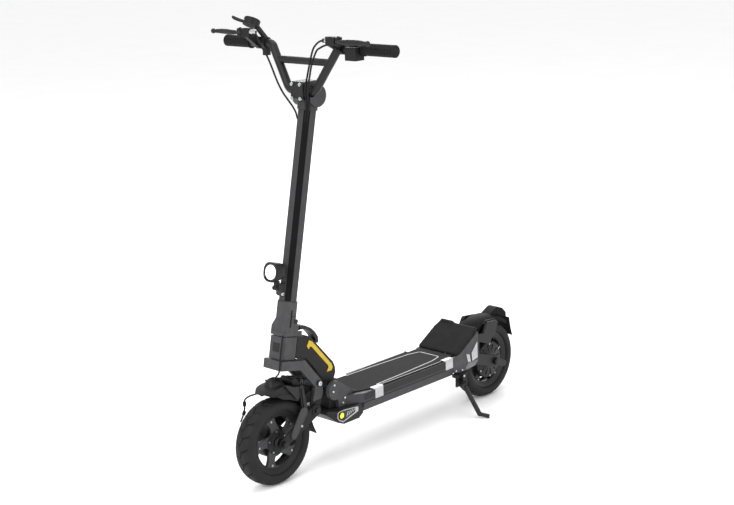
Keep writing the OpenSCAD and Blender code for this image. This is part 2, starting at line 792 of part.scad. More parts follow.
module handlebar() {
    color(black) {
        pin([bar_y, bar_z], 16, -24, 24, 48);
        rod([-bar_low[0], bar_y, bar_z], bar_low, bar_r, 32);
        both() {
            translate(bar_low) sphere(r = bar_r + 0.15, $fn = 32);
            rod(bar_low, bar_high, bar_r, 32);
            translate(bar_high) sphere(r = bar_r + 0.15, $fn = 32);
            rod(bar_high, [bar_hw - 4, grip_y, grip_z], bar_r, 32);
        }
        brace = bar_low + (bar_high - bar_low) * 0.66;
        rod([-brace[0], brace[1], brace[2]], brace, 9.6, 32);
    }
}

module grips() {
    color(black) both() difference() {
        union() {
            rod([206, grip_y - 3, grip_z + 0.4], [bar_hw, grip_y, grip_z], 15.5, 40);
            rod([202, grip_y - 3.2, grip_z + 0.5], [206.5, grip_y - 3, grip_z + 0.4], 17, 40);
        }
        rod(bar_high, [bar_hw - 4, grip_y, grip_z], bar_r, 32);
    }
}

// clamp ring on the straight part of the bar, between two x values, joined to its children
module bar_ring(x0, x1, r) {
    y_at = function (x) grip_y - 8 + 8 * (x - 120) / (bar_hw - 124);
    z_at = function (x) grip_z + 1 - (x - 120) / (bar_hw - 124);
    difference() {
        union() {
            rod([x0, y_at(x0), z_at(x0)], [x1, y_at(x1), z_at(x1)], r, 40);
            children();
        }
        rod([110, y_at(110), z_at(110)], [bar_hw - 4, grip_y, grip_z], bar_r, 32);
    }
}

// brake lever seat with its clamp ring, around the lever's pivot point at
module brake_perch(at) {
    x = at[0];
    h = at[2];
    color(black) difference() {
        bar_ring(x - 34, x - 20, 16) {
            side(x - 34, x - 20) polygon([[-262, 1139], [-262, 1118], [-274, 1122], [at[1] - 6, h - 11],
                [at[1] - 6, h + 11], [-280, h + 4]]);
            block([x - 40, at[1] - 6, h - 11], [x - 8, at[1] + 10, h + 11]);
            translate([x, at[1], h - 11]) cylinder(r = 9, h = 22, $fn = 32);
        }
        translate([x, at[1], h - 5]) cylinder(r = 12, h = 10, $fn = 32);
        translate([x, at[1], 1100]) cylinder(r = 3, h = 90, $fn = 24);
    }
    color(silver) {
        translate([x, at[1], h - 13]) cylinder(r = 3, h = 26, $fn = 24);
        rod([x - 55, at[1] + 2, h], [x - 40, at[1] + 2, h], 5.5, 24);
    }
}

module brake_perches() {
    brake_perch(lever_left_at);
    mirror([1, 0, 0]) brake_perch(lever_right_at);
}

module brake_lever(at) {
    color(black) translate(at) difference() {
        union() {
            translate([0, 0, -4.7]) linear_extrude(9.4) {
                circle(r = 9, $fn = 40);
                polygon([[-8, -6], [10, -14], [38, -12], [76, -4], [101, -8], [101, -1], [76, 5],
                    [38, 0], [14, 6], [2, 8]]);
            }
            translate([101, -4.5, 0]) sphere(r = 7, $fn = 24);
        }
        translate([0, 0, -20]) cylinder(r = 3 + fit, h = 40, $fn = 24);
    }
}

module brake_lever_left() {
    brake_lever(lever_left_at);
}

module brake_lever_right() {
    mirror([1, 0, 0]) brake_lever(lever_right_at);
}

module display_frame() {
    translate(display_at) rotate([display_tilt, 0, 0]) children();
}

module display_unit() {
    color(black) {
        mirror([1, 0, 0]) bar_ring(138, 153.6, 15.5) {
            rod([146, -254, 1138], [176, -257, 1168], 7, 24);
            block([139, -262, 1096], [153.6, -247, 1118]);
        }
        display_frame() difference() {
            union() {
                translate([0, 0, -10]) cylinder(r = 22, h = 18, $fn = 64);
                translate([0, 0, 8]) cylinder(r = 20, h = 2, $fn = 64);
            }
            translate([8, 8, 5]) cylinder(r = 5.2, h = 10, $fn = 32);
            // slot that the trigger swings in
            translate([-34, -34, -5.4]) cube([27, 44, 8.8]);
        }
    }
    color(silver) display_frame() translate([-14, 0, -9]) cylinder(r = 2.5, h = 16, $fn = 24);
}

module display_button() {
    color([0.6, 0.1, 0.1]) display_frame() translate([8, 8, 7]) cylinder(r = 4.9, h = 4.5, $fn = 32);
}

module throttle_trigger() {
    color(black) display_frame() difference() {
        union() {
            translate([-14, 0, -5]) cylinder(r = 6.5, h = 8, $fn = 32);
            translate([0, 0, -5]) linear_extrude(8)
                polygon([[-12, -6], [-28, -17], [-42, -25], [-51, -27], [-54, -20], [-44, -14],
                    [-32, -6], [-18, 5]]);
            // raised finger tip
            translate([0, 0, 2]) linear_extrude(4) polygon([[-42, -25], [-51, -27], [-54, -20], [-44, -14]]);
        }
        translate([-14, 0, -20]) cylinder(r = 2.5 + fit, h = 40, $fn = 24);
    }
}

module switch_pod() {
    color(black) difference() {
        bar_ring(164, 184, 15.5) block([163, -281, 1101], [199, -250, 1134]);
        translate([181, -248, 1106.5]) rotate([90, 0, 0]) cylinder(r = 4.6, h = 14, $fn = 32);
    }
    color(silver) translate([158.5, -262, 1112]) rotate([0, 90, 0]) cylinder(r = 4, h = 5, $fn = 24);
}

module horn_button() {
    color(grey) translate([181, -247, 1106.5]) rotate([90, 0, 0]) cylinder(r = 4.3, h = 11, $fn = 32);
}

module bar_cables() {
    color(black) {
        tube(concat(smooth_route(route_left_a, 3), [foot_left_a]), 2.4, 8, [0.1, 1, 0.1]);
        tube(concat(smooth_route(route_left_b, 3), [foot_left_b]), 2.4, 8, [0.1, 1, 0.1]);
        tube(concat(smooth_route(route_right, 3), [foot_right]), 2.4, 8, [0.1, 1, 0.1]);
    }
}

module lamp_bracket() {
    color(black) steered() difference() {
        union() {
            side(-9.5, 9.5) polygon([[-stem_af / 2, 168], [-stem_af / 2, 200], [-31, 200], [-38, 194],
                [-38, 182], [-31, 168]]);
            both() side(5.4, 9.5) {
                polygon([[-36, 182], [lamp_n, 182], [lamp_n, 194], [-36, 194]]);
                translate([lamp_n, lamp_s]) circle(r = 6, $fn = 32);
            }
        }
        pin([lamp_n, lamp_s], 3, -20, 20, 24);
    }
    color(silver) steered() pin([lamp_n, lamp_s], 3, -12, 12, 24);
    color(silver) steered() pin([-31, 174], 3.5, 9.5, 12.5, 24);
}

module headlight() {
    color(black) steered() difference() {
        union() {
            translate([0, 0, 203]) {
                translate([0, -36, 0]) rotate([90, 0, 0]) linear_extrude(38)
                    rounded2d(-26, 0, 26, 53, 16);
            }
            side(-5, 5) {
                translate([lamp_n, lamp_s]) circle(r = 6, $fn = 32);
                polygon([[lamp_n - 6, lamp_s], [lamp_n + 6, lamp_s], [lamp_n + 6, 206], [lamp_n - 6, 206]]);
            }
        }
        pin([lamp_n, lamp_s], 3 + fit, -20, 20, 24);
        translate([0, -68, 229.5]) rotate([90, 0, 0]) cylinder(r = 22, h = 10, $fn = 64);
    }
    color([0.95, 0.96, 1]) steered() translate([0, -68, 229.5]) rotate([90, 0, 0])
        cylinder(r = 22, h = 5, $fn = 64);
}

deck_shell();
deck_mat();
deck_fasteners();
deck_trims();
nose_housing();
signal_bezels();
signal_lenses();
charge_port();
neck_plates();
neck_beam();
head_block();
reflector_strips();
steering_bearings();
battery_pack();
motor_controller();
footrest();
rear_fairing();
rear_bracket();
kick_bracket();
kickstand();
fork_crown();
steerer();
hinge_base();
fork_bolts();
fork_cable();
front_fender();
front_flap();
front_arm();
front_axle();
front_springs();
drum_plate();
brake_cable_front();
front_brake_arm();
front_tyre();
front_rim();
front_bearings();
fold_lever();
stem_sleeve();
stem_tube();
stem_head();
clamp_plate();
clamp_bolts();
handlebar();
grips();
brake_perches();
brake_lever_left();
brake_lever_right();
display_unit();
display_button();
throttle_trigger();
switch_pod();
horn_button();
bar_cables();
lamp_bracket();
headlight();
rear_arm();
rear_spring();
rear_fender();
motor_stator();
rear_wheel();
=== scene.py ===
"""Looks of the folding electric kick scooter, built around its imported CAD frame.

Outlines and sizes are in millimetres in the row frame: front -Y, rider's left +X, up +Z.
"""
import math

import bmesh
import bpy
from mathutils import Matrix, Vector

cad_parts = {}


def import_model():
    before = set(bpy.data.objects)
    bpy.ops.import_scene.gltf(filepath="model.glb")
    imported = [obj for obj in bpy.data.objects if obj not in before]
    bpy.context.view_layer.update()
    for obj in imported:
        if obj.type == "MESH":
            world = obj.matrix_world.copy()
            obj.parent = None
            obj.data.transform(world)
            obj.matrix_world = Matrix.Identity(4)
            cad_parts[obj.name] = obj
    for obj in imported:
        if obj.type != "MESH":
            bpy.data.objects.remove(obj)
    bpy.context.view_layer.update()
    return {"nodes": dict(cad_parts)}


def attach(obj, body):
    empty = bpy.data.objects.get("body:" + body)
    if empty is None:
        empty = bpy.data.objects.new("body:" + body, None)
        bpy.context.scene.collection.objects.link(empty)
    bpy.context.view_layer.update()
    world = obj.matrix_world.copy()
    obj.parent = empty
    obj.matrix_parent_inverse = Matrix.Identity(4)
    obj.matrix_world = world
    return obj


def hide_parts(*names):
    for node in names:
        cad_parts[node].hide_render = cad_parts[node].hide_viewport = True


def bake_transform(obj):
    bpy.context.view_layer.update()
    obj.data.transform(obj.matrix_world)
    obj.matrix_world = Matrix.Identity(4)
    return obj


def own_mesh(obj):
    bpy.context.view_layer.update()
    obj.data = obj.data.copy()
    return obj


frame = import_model()
scene = bpy.context.scene
NODES = frame["nodes"]

MM = 0.001
RAKE = math.radians(11.7)
STEER_Y, STEER_Z = -390.4, 328.1      # foot of the steering axis
AXLE_F, AXLE_R, AXLE_Z = -435.0, 435.0, 116.0
TYRE_R = 116.0
ARM_PIVOT = (-314, 175)               # front suspension arm, y and z
HORN_TOP = (-363, 249.5)              # cross tube between the arm's horns
SPRING_X = 12.9                       # front springs, each side of the middle
SPRING_LOW = (0, -364, 262)           # eye on the arm's saddle
SPRING_HIGH = (0, -293, 243)          # eye on the fork
REAR_SEAT, REAR_EYE = (228, 170), (288, 198)
CABLE_R, BRAKE_CABLE_R, FERRULE_R = 2.4 * MM, 2.3 * MM, 4.6 * MM
LAMP_S = 229.5                        # headlight's axis along the stem
GRIP_Y, GRIP_Z = -249, 1127
DECK_SIDE_X = 75.7                    # outer face of the deck's side
DISPLAY_AT, DISPLAY_TILT = (-186, -266, 1180), math.radians(-28)
SHARP_EDGE = math.radians(32)         # bevels start above this angle
WELD = 1e-5
TAU = 2 * math.pi


# ---------- places ----------

def world(x, y, z):
    return Vector((x, y, z)) * MM


def stem(x, n, s):
    """Point in the stem's frame: n behind the steering axis, s along it."""
    return world(x, STEER_Y + n * math.cos(RAKE) + s * math.sin(RAKE),
                 STEER_Z - n * math.sin(RAKE) + s * math.cos(RAKE))


def smooth_path(points, steps=8):
    """Curve through all points."""
    pts = [Vector(p) for p in points]
    out = []
    for i in range(len(pts) - 1):
        a, b, c, d = pts[max(i - 1, 0)], pts[i], pts[i + 1], pts[min(i + 2, len(pts) - 1)]
        for k in range(steps):
            t = k / steps
            out.append(0.5 * (2 * b + (c - a) * t + (2 * a - 5 * b + 4 * c - d) * t ** 2
                              + (3 * b - a - 3 * c + d) * t ** 3))
    return out + [pts[-1]]


# ---------- materials ----------

def surface(name, base, rough, metal=0.0, spec=0.5, mottle=0.14, patch=45.0, grain=1400.0, bump=0.12,
            rough_swing=0.08, coat=0.0, stretch=(1, 1, 1), pattern=None):
    """Procedural finish: patchy colour, varied roughness and a fine surface grain."""
    m = bpy.data.materials.new(name)
    m.use_nodes = True
    tree = m.node_tree
    n, link = tree.nodes, tree.links.new
    shader = n["Principled BSDF"]
    place = n.new("ShaderNodeTexCoord").outputs["Object"]
    mapping = n.new("ShaderNodeMapping")
    mapping.inputs["Scale"].default_value = stretch
    link(place, mapping.inputs["Vector"])
    patches = n.new("ShaderNodeTexNoise")
    patches.inputs["Scale"].default_value = patch
    patches.inputs["Detail"].default_value = 5
    fine = n.new("ShaderNodeTexNoise")
    fine.inputs["Scale"].default_value = grain
    fine.inputs["Detail"].default_value = 2
    link(mapping.outputs[0], patches.inputs["Vector"])
    link(mapping.outputs[0], fine.inputs["Vector"])
    ramp = n.new("ShaderNodeValToRGB")
    ramp.color_ramp.elements[0].position = 0.3
    ramp.color_ramp.elements[1].position = 0.7
    ramp.color_ramp.elements[0].color = [c * (1 - mottle) for c in base] + [1]
    ramp.color_ramp.elements[1].color = [min(1.0, c * (1 + mottle)) for c in base] + [1]
    link(patches.outputs["Fac"], ramp.inputs["Fac"])
    link(ramp.outputs["Color"], shader.inputs["Base Color"])
    swing = n.new("ShaderNodeMapRange")
    swing.inputs["To Min"].default_value = max(0.02, rough - rough_swing)
    swing.inputs["To Max"].default_value = min(1.0, rough + rough_swing)
    link(fine.outputs["Fac"], swing.inputs["Value"])
    link(swing.outputs["Result"], shader.inputs["Roughness"])
    height = fine.outputs["Fac"]
    if pattern:
        height = pattern(tree, place, height)
    lift = n.new("ShaderNodeBump")
    lift.inputs["Strength"].default_value = bump
    lift.inputs["Distance"].default_value = 0.0004
    link(height, lift.inputs["Height"])
    link(lift.outputs["Normal"], shader.inputs["Normal"])
    shader.inputs["Metallic"].default_value = metal
    shader.inputs["Specular IOR Level"].default_value = spec
    shader.inputs["Coat Weight"].default_value = coat
    shader.inputs["Coat Roughness"].default_value = 0.15
    return m


def ribs_pattern(direction, pitch):
    """Fine parallel ribs added to the grain."""
    def build(tree, place, height):
        n, link = tree.nodes, tree.links.new
        wave = n.new("ShaderNodeTexWave")
        wave.bands_direction = direction
        wave.inputs["Scale"].default_value = 0.314 / pitch
        link(place, wave.inputs["Vector"])
        add = n.new("ShaderNodeMath")
        add.operation = "MULTIPLY_ADD"
        add.inputs[1].default_value = 2.2
        link(wave.outputs["Fac"], add.inputs[0])
        link(height, add.inputs[2])
        return add.outputs[0]
    return build


def cells_pattern(scale, weight):
    """Small raised cells added to the grain."""
    def build(tree, place, height):
        n, link = tree.nodes, tree.links.new
        cell = n.new("ShaderNodeTexVoronoi")
        cell.inputs["Scale"].default_value = scale
        link(place, cell.inputs["Vector"])
        add = n.new("ShaderNodeMath")
        add.operation = "MULTIPLY_ADD"
        add.inputs[1].default_value = weight
        link(cell.outputs["Distance"], add.inputs[0])
        link(height, add.inputs[2])
        return add.outputs[0]
    return build


def glow(m, colour, strength):
    shader = m.node_tree.nodes["Principled BSDF"]
    shader.inputs["Emission Color"].default_value = (*colour, 1)
    shader.inputs["Emission Strength"].default_value = strength
    return m


PAINT = surface("satin_charcoal_paint", (0.027, 0.027, 0.029), 0.46, spec=0.3, grain=1800, bump=0.10)
DARK_PAINT = surface("satin_black_paint", (0.0085, 0.0085, 0.009), 0.42, spec=0.25, grain=1800, bump=0.10)
CAST = surface("cast_alloy_charcoal", (0.036, 0.036, 0.038), 0.5, spec=0.3, mottle=0.2, grain=900, bump=0.25)
# Deep black with little sheen: the real black of the rear fender and tail lamp, and painted shade in the
# stem's channel and the sleeve's slits.
BLACK_AND_RECESS_SHADE = surface("deep_black_and_painted_recess_shade", (0.0025, 0.0025, 0.0025), 0.6, spec=0.1, grain=1500)
PLASTIC = surface("moulded_black_plastic", (0.0055, 0.0055, 0.006), 0.5, spec=0.22, grain=2200, bump=0.2)
GLOSS = surface("gloss_black_plastic", (0.005, 0.005, 0.006), 0.18, spec=0.35, grain=600, bump=0.03,
                rough_swing=0.04, coat=0.2)
RUBBER = surface("matt_rubber", (0.0075, 0.0075, 0.0075), 0.68, spec=0.15, mottle=0.25, grain=1200, bump=0.3)
TREAD = surface("tyre_rubber", (0.0085, 0.0085, 0.0088), 0.62, spec=0.2, mottle=0.3, patch=25, grain=900,
                bump=0.3)
MAT = surface("deck_grip_mat", (0.0075, 0.0075, 0.008), 0.72, spec=0.15, mottle=0.2, grain=700, bump=0.5,
              pattern=cells_pattern(420, 1.6))
OUTLINE = surface("pale_mat_inlay", (0.42, 0.42, 0.42), 0.6, spec=0.2, mottle=0.06, grain=700, bump=0.3)
STEEL = surface("zinc_plated_steel", (0.50, 0.51, 0.52), 0.32, metal=1.0, mottle=0.08, grain=1500, bump=0.06)
BLACK_STEEL = surface("black_oxide_steel", (0.012, 0.012, 0.012), 0.35, metal=0.4, spec=0.3, grain=1500)
SILVER = surface("satin_silver", (0.42, 0.42, 0.43), 0.30, metal=0.9, mottle=0.25, patch=18, grain=1600,
                 bump=0.08, stretch=(1, 0.2, 1))
SILVER_DIM = surface("brushed_grey", (0.12, 0.12, 0.125), 0.4, metal=0.7, mottle=0.3, patch=20, grain=1600,
                     bump=0.1)
SPRING = surface("lacquered_spring", (0.022, 0.022, 0.023), 0.3, spec=0.5, grain=1200, bump=0.05)
YELLOW = surface("yellow_reflector", (0.46, 0.32, 0.004), 0.38, spec=0.3, mottle=0.08, grain=900, bump=0.5,
                 pattern=cells_pattern(700, 2.0), coat=0.2)
LENS = glow(surface("yellow_lamp_lens", (0.75, 0.72, 0.01), 0.15, mottle=0.05, grain=500, bump=0.1, coat=0.5,
                    pattern=cells_pattern(500, 1.5)), (0.95, 0.90, 0.01), 0.12)
WHITE = glow(surface("headlamp_lens", (0.92, 0.93, 0.95), 0.12, mottle=0.04, grain=300, bump=0.2, coat=1.0,
                     pattern=ribs_pattern("X", 0.004)), (0.95, 0.97, 1.0), 0.4)
RED = surface("tail_lamp_lens", (0.16, 0.004, 0.005), 0.18, mottle=0.1, grain=500, bump=0.1, coat=0.5,
              pattern=ribs_pattern("X", 0.003))
BUTTON = surface("button_red", (0.25, 0.012, 0.012), 0.4, grain=900, bump=0.1)
CELLS = surface("battery_wrap", (0.05, 0.10, 0.30), 0.3, mottle=0.1, grain=500, bump=0.1)


# ---------- shapes ----------

def piece(name, verts, faces, mat, body, bevel=0.0, segments=2, smooth=32.0, sub=0, stands_for=()):
    """A mesh piece that rides on a body, or on none; bevel is in millimetres."""
    me = bpy.data.meshes.new(name)
    me.from_pydata([tuple(v) for v in verts], [], faces)
    bm = bmesh.new()
    bm.from_mesh(me)
    bmesh.ops.remove_doubles(bm, verts=bm.verts, dist=WELD)
    bmesh.ops.recalc_face_normals(bm, faces=bm.faces)
    bm.to_mesh(me)
    bm.free()
    for poly in me.polygons:
        poly.use_smooth = True
    me.set_sharp_from_angle(angle=math.radians(smooth))
    me.materials.append(mat)
    o = bpy.data.objects.new(name, me)
    scene.collection.objects.link(o)
    if sub:
        s = o.modifiers.new("Subsurf", "SUBSURF")
        s.levels = s.render_levels = sub
    if bevel:
        b = o.modifiers.new("Bevel", "BEVEL")
        b.width = bevel * MM
        b.segments = segments
        b.limit_method = "ANGLE"
        b.angle_limit = SHARP_EDGE
        b.harden_normals = True
    if body:
        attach(o, body)
    if stands_for:
        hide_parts(*stands_for)
    return o


class Build:
    """Collects several closed shells into one piece."""

    def __init__(self):
        self.verts, self.faces = [], []

    def add(self, verts, faces):
        k = len(self.verts)
        self.verts += [Vector(v) for v in verts]
        self.faces += [[i + k for i in f] for f in faces]
        return self

    def done(self, name, mat, body, **kw):
        return piece(name, self.verts, self.faces, mat, body, **kw)


def loft(rings, closed=False):
    """Skin over rings of equal length."""
    n = len(rings[0])
    verts = [v for r in rings for v in r]
    faces = []
    last = len(rings) if closed else len(rings) - 1
    for i in range(last):
        j = (i + 1) % len(rings)
        for k in range(n):
            q = (k + 1) % n
            faces.append([i * n + k, i * n + q, j * n + q, j * n + k])
    if not closed:
        faces.append(list(range(n)))
        faces.append([(len(rings) - 1) * n + k for k in reversed(range(n))])
    return verts, faces


def prism(outline, t0, t1, place):
    """Outline of 2-D points between two values of the third axis; place(t, a, b) gives the point."""
    return loft([[place(t, a, b) for a, b in outline] for t in (t0, t1)])


def tube(path, radius, sides=12):
    """Round tube along a path; radius is a number or a list with one value for each point."""
    n = len(path)
    radii = radius if isinstance(radius, (list, tuple)) else [radius] * n
    rings, u = [], None
    for i, p in enumerate(path):
        t = (path[min(i + 1, n - 1)] - path[max(i - 1, 0)]).normalized()
        if u is None:
            u = Vector((0, 0, 1)) if abs(t.z) < 0.9 else Vector((1, 0, 0))
        u = (u - t * u.dot(t)).normalized()
        v = t.cross(u)
        rings.append([p + radii[i] * (u * math.cos(TAU * k / sides) + v * math.sin(TAU * k / sides))
                      for k in range(sides)])
    return loft(rings)


def axes_about(axis):
    """Unit vectors along an axis and across it."""
    a = Vector(axis).normalized()
    u = Vector((0, 0, 1)) if abs(a.z) < 0.9 else Vector((1, 0, 0))
    u = (u - a * u.dot(a)).normalized()
    return a, u, a.cross(u)


def lathe(profile, centre, axis, sides=48):
    """Closed profile of (radius, distance along axis) turned about the axis."""
    a, u, v = axes_about(axis)
    c = Vector(centre)
    rings = []
    for k in range(sides):
        w = u * math.cos(TAU * k / sides) + v * math.sin(TAU * k / sides)
        rings.append([c + w * r * MM + a * t * MM for r, t in profile])
    return loft(rings, closed=True)


def bolt(build, at, axis, r, h):
    """Screw head with a chamfer and a hexagon socket."""
    a, u, v = axes_about(axis)
    sides = 24

    def hexagon(k, q):
        w = (k * 360 / sides) % 60 - 30
        return q * math.cos(math.pi / 6) / math.cos(math.radians(w))

    def ring(radius, t, hexed=False):
        return [Vector(at) + a * t * MM + (u * math.cos(TAU * k / sides) + v * math.sin(TAU * k / sides))
                * (hexagon(k, radius) if hexed else radius) * MM for k in range(sides)]
    return build.add(*loft([ring(r, 0), ring(r, h * 0.75), ring(r * 0.88, h), ring(r * 0.55, h, True),
                            ring(r * 0.5, h * 0.35, True)]))


def dress(node, mat, bevel):
    """A CAD node that stays: rounded edges and its finish."""
    o = NODES[node]
    o.data.materials.clear()
    o.data.materials.append(mat)
    if "custom_normal" in o.data.attributes:
        o.data.attributes.remove(o.data.attributes["custom_normal"])
    for poly in o.data.polygons:
        poly.use_smooth = True
    weld = o.modifiers.new("Weld", "WELD")
    weld.merge_threshold = 2e-5
    flat = o.modifiers.new("Planar", "DECIMATE")
    flat.decimate_type = "DISSOLVE"
    flat.angle_limit = math.radians(1.5)
    b = o.modifiers.new("Bevel", "BEVEL")
    b.width = bevel * MM
    b.segments = 2
    b.limit_method = "ANGLE"
    b.angle_limit = math.radians(30)
    o.modifiers.new("Normals", "WEIGHTED_NORMAL").keep_sharp = True
    return o


# ---------- camera, floor and light ----------

def aim(azimuth, pitch, roll):
    a, e, r = (math.radians(v) for v in (azimuth, pitch, roll))
    forward = Vector((-math.sin(a) * math.cos(e), math.cos(a) * math.cos(e), -math.sin(e)))
    right = Vector((math.cos(a), math.sin(a), 0))
    up = right.cross(forward)
    turned = right * math.cos(r) + up * math.sin(r)
    up = up * math.cos(r) - right * math.sin(r)
    return Matrix((turned, up, -forward)).transposed().to_4x4()


camera = bpy.data.objects.new("camera", bpy.data.cameras.new("camera"))
scene.collection.objects.link(camera)
camera.matrix_world = Matrix.Translation((2.6716, -2.8528, 1.513)) @ aim(43.76, 14.01, -1.99)
camera.data.sensor_width = 36
camera.data.lens = 71.745
camera.data.shift_x = 0.0026
camera.data.shift_y = -0.0009
camera.data.clip_end = 200
scene.camera = camera

floor_size = 30.0
floor_mesh = bpy.data.meshes.new("floor")
floor_mesh.from_pydata([(-floor_size, -floor_size, 0), (floor_size, -floor_size, 0),
                        (floor_size, floor_size, 0), (-floor_size, floor_size, 0)], [], [[0, 1, 2, 3]])
floor = bpy.data.objects.new("floor", floor_mesh)
floor_mesh.materials.append(surface("pale_floor", (0.93, 0.93, 0.93), 0.9, spec=0.1, mottle=0.01, patch=3,
                                    grain=60, bump=0.02))
scene.collection.objects.link(floor)


def area_light(name, place, target, size, energy):
    data = bpy.data.lights.new(name, "AREA")
    data.shape = "RECTANGLE"
    data.size, data.size_y = size
    data.energy = energy
    o = bpy.data.objects.new(name, data)
    scene.collection.objects.link(o)
    o.location = place
    o.rotation_euler = (Vector(target) - Vector(place)).to_track_quat("-Z", "Y").to_euler()


area_light("key_front", (0.6, -5.5, 3.2), (0, 0, 0.5), (3.0, 2.5), 210)
area_light("fill_side", (5.5, 0.5, 2.2), (0, 0, 0.5), (3.0, 2.5), 90)
area_light("top", (0, 0, 5.0), (0, 0, 0.3), (4.0, 4.0), 110)
area_light("rim_back", (-3.5, 4.0, 3.0), (0, 0, 0.6), (2.5, 2.0), 90)
world_data = bpy.data.worlds.new("studio")
world_data.use_nodes = True
world_data.node_tree.nodes["Background"].inputs["Color"].default_value = (1, 1, 1, 1)
world_data.node_tree.nodes["Background"].inputs["Strength"].default_value = 1.0
scene.world = world_data
scene.view_settings.view_transform = "Standard"


# ---------- tyres and wheels ----------

def tyre_outline():
    half = smooth_path([(84, -17.5, 0), (87, -25, 0), (92, -28.3, 0), (99, -29, 0), (106, -27, 0),
                        (111, -22.8, 0)], 4)
    side = [(v.x, v.y) for v in half]
    crown = []
    steps = 36
    for k in range(1, steps):
        x = -22.8 + 45.6 * k / steps
        crown.append((TYRE_R - 5.0 * abs(x / 22.8) ** 2.6, x))
    return side + crown + [(r, -x) for r, x in reversed(side)]


def tread_depth(arc, x):
    """Depth of the tread's grooves at a distance along the tyre and across it."""
    pitch = 36.4
    ax = abs(x)
    if ax > 26:
        return 0.0
    deep = 0.0
    zig = 4.0 * (abs((arc / pitch) % 1 - 0.5) * 4 - 1)
    if abs(x - zig) < 1.3:
        deep = 2.2
    shift = 0.5 if x > 0 else 0.0
    lane = (arc / pitch + ax * 0.62 / pitch + shift) % 1
    if ax > 5 and abs(lane - 0.5) * pitch < (1.7 if ax < 19 else 2.4):
        deep = 2.4
    cut = (arc / pitch - ax * 0.30 / pitch + shift + 0.35) % 1
    if 12 < ax < 25 and abs(cut - 0.5) * pitch < 0.9:
        deep = max(deep, 1.4)
    return deep * (1.0 if ax < 22 else max(0.0, (26 - ax) / 4))


def tyre(name, centre_y, body, mat, replaced):
    outline = tyre_outline()
    around = 540
    rings = []
    for i in range(around):
        w = TAU * i / around
        ring = []
        for r, x in outline:
            deep = tread_depth(w * TYRE_R, x) if r > 104 else 0.0
            q = (r - deep) * MM
            ring.append(Vector((x * MM, centre_y * MM + q * math.cos(w), AXLE_Z * MM + q * math.sin(w))))
        ring.append(Vector((0, centre_y * MM + 0.090 * math.cos(w), AXLE_Z * MM + 0.090 * math.sin(w))))
        rings.append(ring)
    return piece(name, *loft(rings, closed=True), mat, body, smooth=40, stands_for=replaced)


tyre("front_tyre_tread", AXLE_F, "front_wheel", TREAD, ["front_tyre"])
tyre("rear_tyre_tread", AXLE_R, "drive_wheel", TREAD, ["rear_wheel"])

RIM = [(69, -15), (74, -17.5), (80, -20.5), (85.5, -21.5), (86.5, -20), (85, -18.5), (81, -16), (78, -10),
       (78, 10), (81, 16), (85, 18.5), (86.5, 20), (85.5, 21.5), (80, 20.5), (74, 17.5), (69, 15), (71, 11),
       (75, 8), (75, -8), (71, -11)]


def spoke(centre_y, turn, x0, x1, r0, r1, waist, foot, head, sweep):
    """Curved spoke between two radii; waist, foot and head are half widths."""
    rim, count = [], 12
    for sign in (1, -1):
        edge = []
        for k in range(count + 1):
            t = k / count
            r = r0 + (r1 - r0) * t
            half = waist + (foot - waist) * (1 - t) ** 2.6 + (head - waist) * t ** 3.2
            w = turn + sweep * t + sign * half / r
            edge.append((centre_y + r * math.cos(w), AXLE_Z + r * math.sin(w)))
        rim += edge if sign == 1 else edge[::-1]
    return prism(rim, x0, x1, world)


SPOKE_TURN = math.radians(165)
wheel = Build()
wheel.add(*lathe(RIM, world(0, AXLE_F, AXLE_Z), (1, 0, 0), 96))
wheel.done("front_rim_ring", PLASTIC, "front_wheel", bevel=0.6, stands_for=["front_rim"])
wheel = Build()
for k in range(5):
    wheel.add(*spoke(AXLE_F, TAU * k / 5 + SPOKE_TURN, 5, 14, 26, 75, 9, 20, 23, 0.30))
wheel.done("front_rim_spokes", PAINT, "front_wheel", bevel=2.0, segments=3)
wheel = Build()
wheel.add(*lathe([(7, 15), (7, 18), (19, 18), (21.5, 15.5), (33, 14.8), (35, 12), (35, 4), (7, 4)],
                 world(0, AXLE_F, AXLE_Z), (1, 0, 0), 64))
wheel.add(*lathe([(7, 19.5), (13, 19.5), (13, 29), (7, 29)], world(0, AXLE_F, AXLE_Z), (1, 0, 0), 48))
wheel.add(*lathe([(18, 3), (44, 5), (44.5, -22), (43, -23.6), (38.5, -23.6), (38, -1), (18, -1)],
                 world(0, AXLE_F, AXLE_Z), (1, 0, 0), 64))
wheel.done("front_hub", PLASTIC, "front_wheel", bevel=0.8)
screws = Build()
for k in range(5):
    w = TAU * k / 5 + SPOKE_TURN
    for r, turn, size in ((63, 0.24, 3.0), (29, 0.0, 2.6)):
        bolt(screws, world(13.5 if r > 40 else 14.5, AXLE_F + r * math.cos(w + turn),
                           AXLE_Z + r * math.sin(w + turn)), (1, 0, 0), size, 3)
screws.done("front_wheel_bolts", STEEL, "front_wheel")

wheel = Build()
wheel.add(*lathe(RIM, world(0, AXLE_R, AXLE_Z), (1, 0, 0), 96))
wheel.done("rear_rim_ring", DARK_PAINT, "drive_wheel", bevel=0.6)
wheel = Build()
for k in range(5):
    wheel.add(*spoke(AXLE_R, TAU * k / 5 + 0.2, -9, 13, 50, 74, 10, 14, 18, 0.12))
wheel.done("rear_rim_spokes", DARK_PAINT, "drive_wheel", bevel=1.4, segments=2)
wheel = Build()
for s in (1, -1):
    wheel.add(*lathe([(9, 21 * s), (9, 30 * s), (23, 30 * s), (25, 28.6 * s), (51, 26 * s), (54, 25 * s),
                      (56, 22.5 * s), (56, 2 * s), (52, 2 * s), (50, 21 * s)],
                     world(0, AXLE_R, AXLE_Z), (1, 0, 0), 96))
    for k in range(12):
        w = TAU * k / 12 + 0.13
        rib = [(AXLE_R + r * math.cos(w + q / r), AXLE_Z + r * math.sin(w + q / r))
               for r, q in ((27, -1.1), (47, -1.1), (47, 1.1), (27, 1.1))]
        wheel.add(*prism(rib, 25.5 * s, 29.0 * s, world))
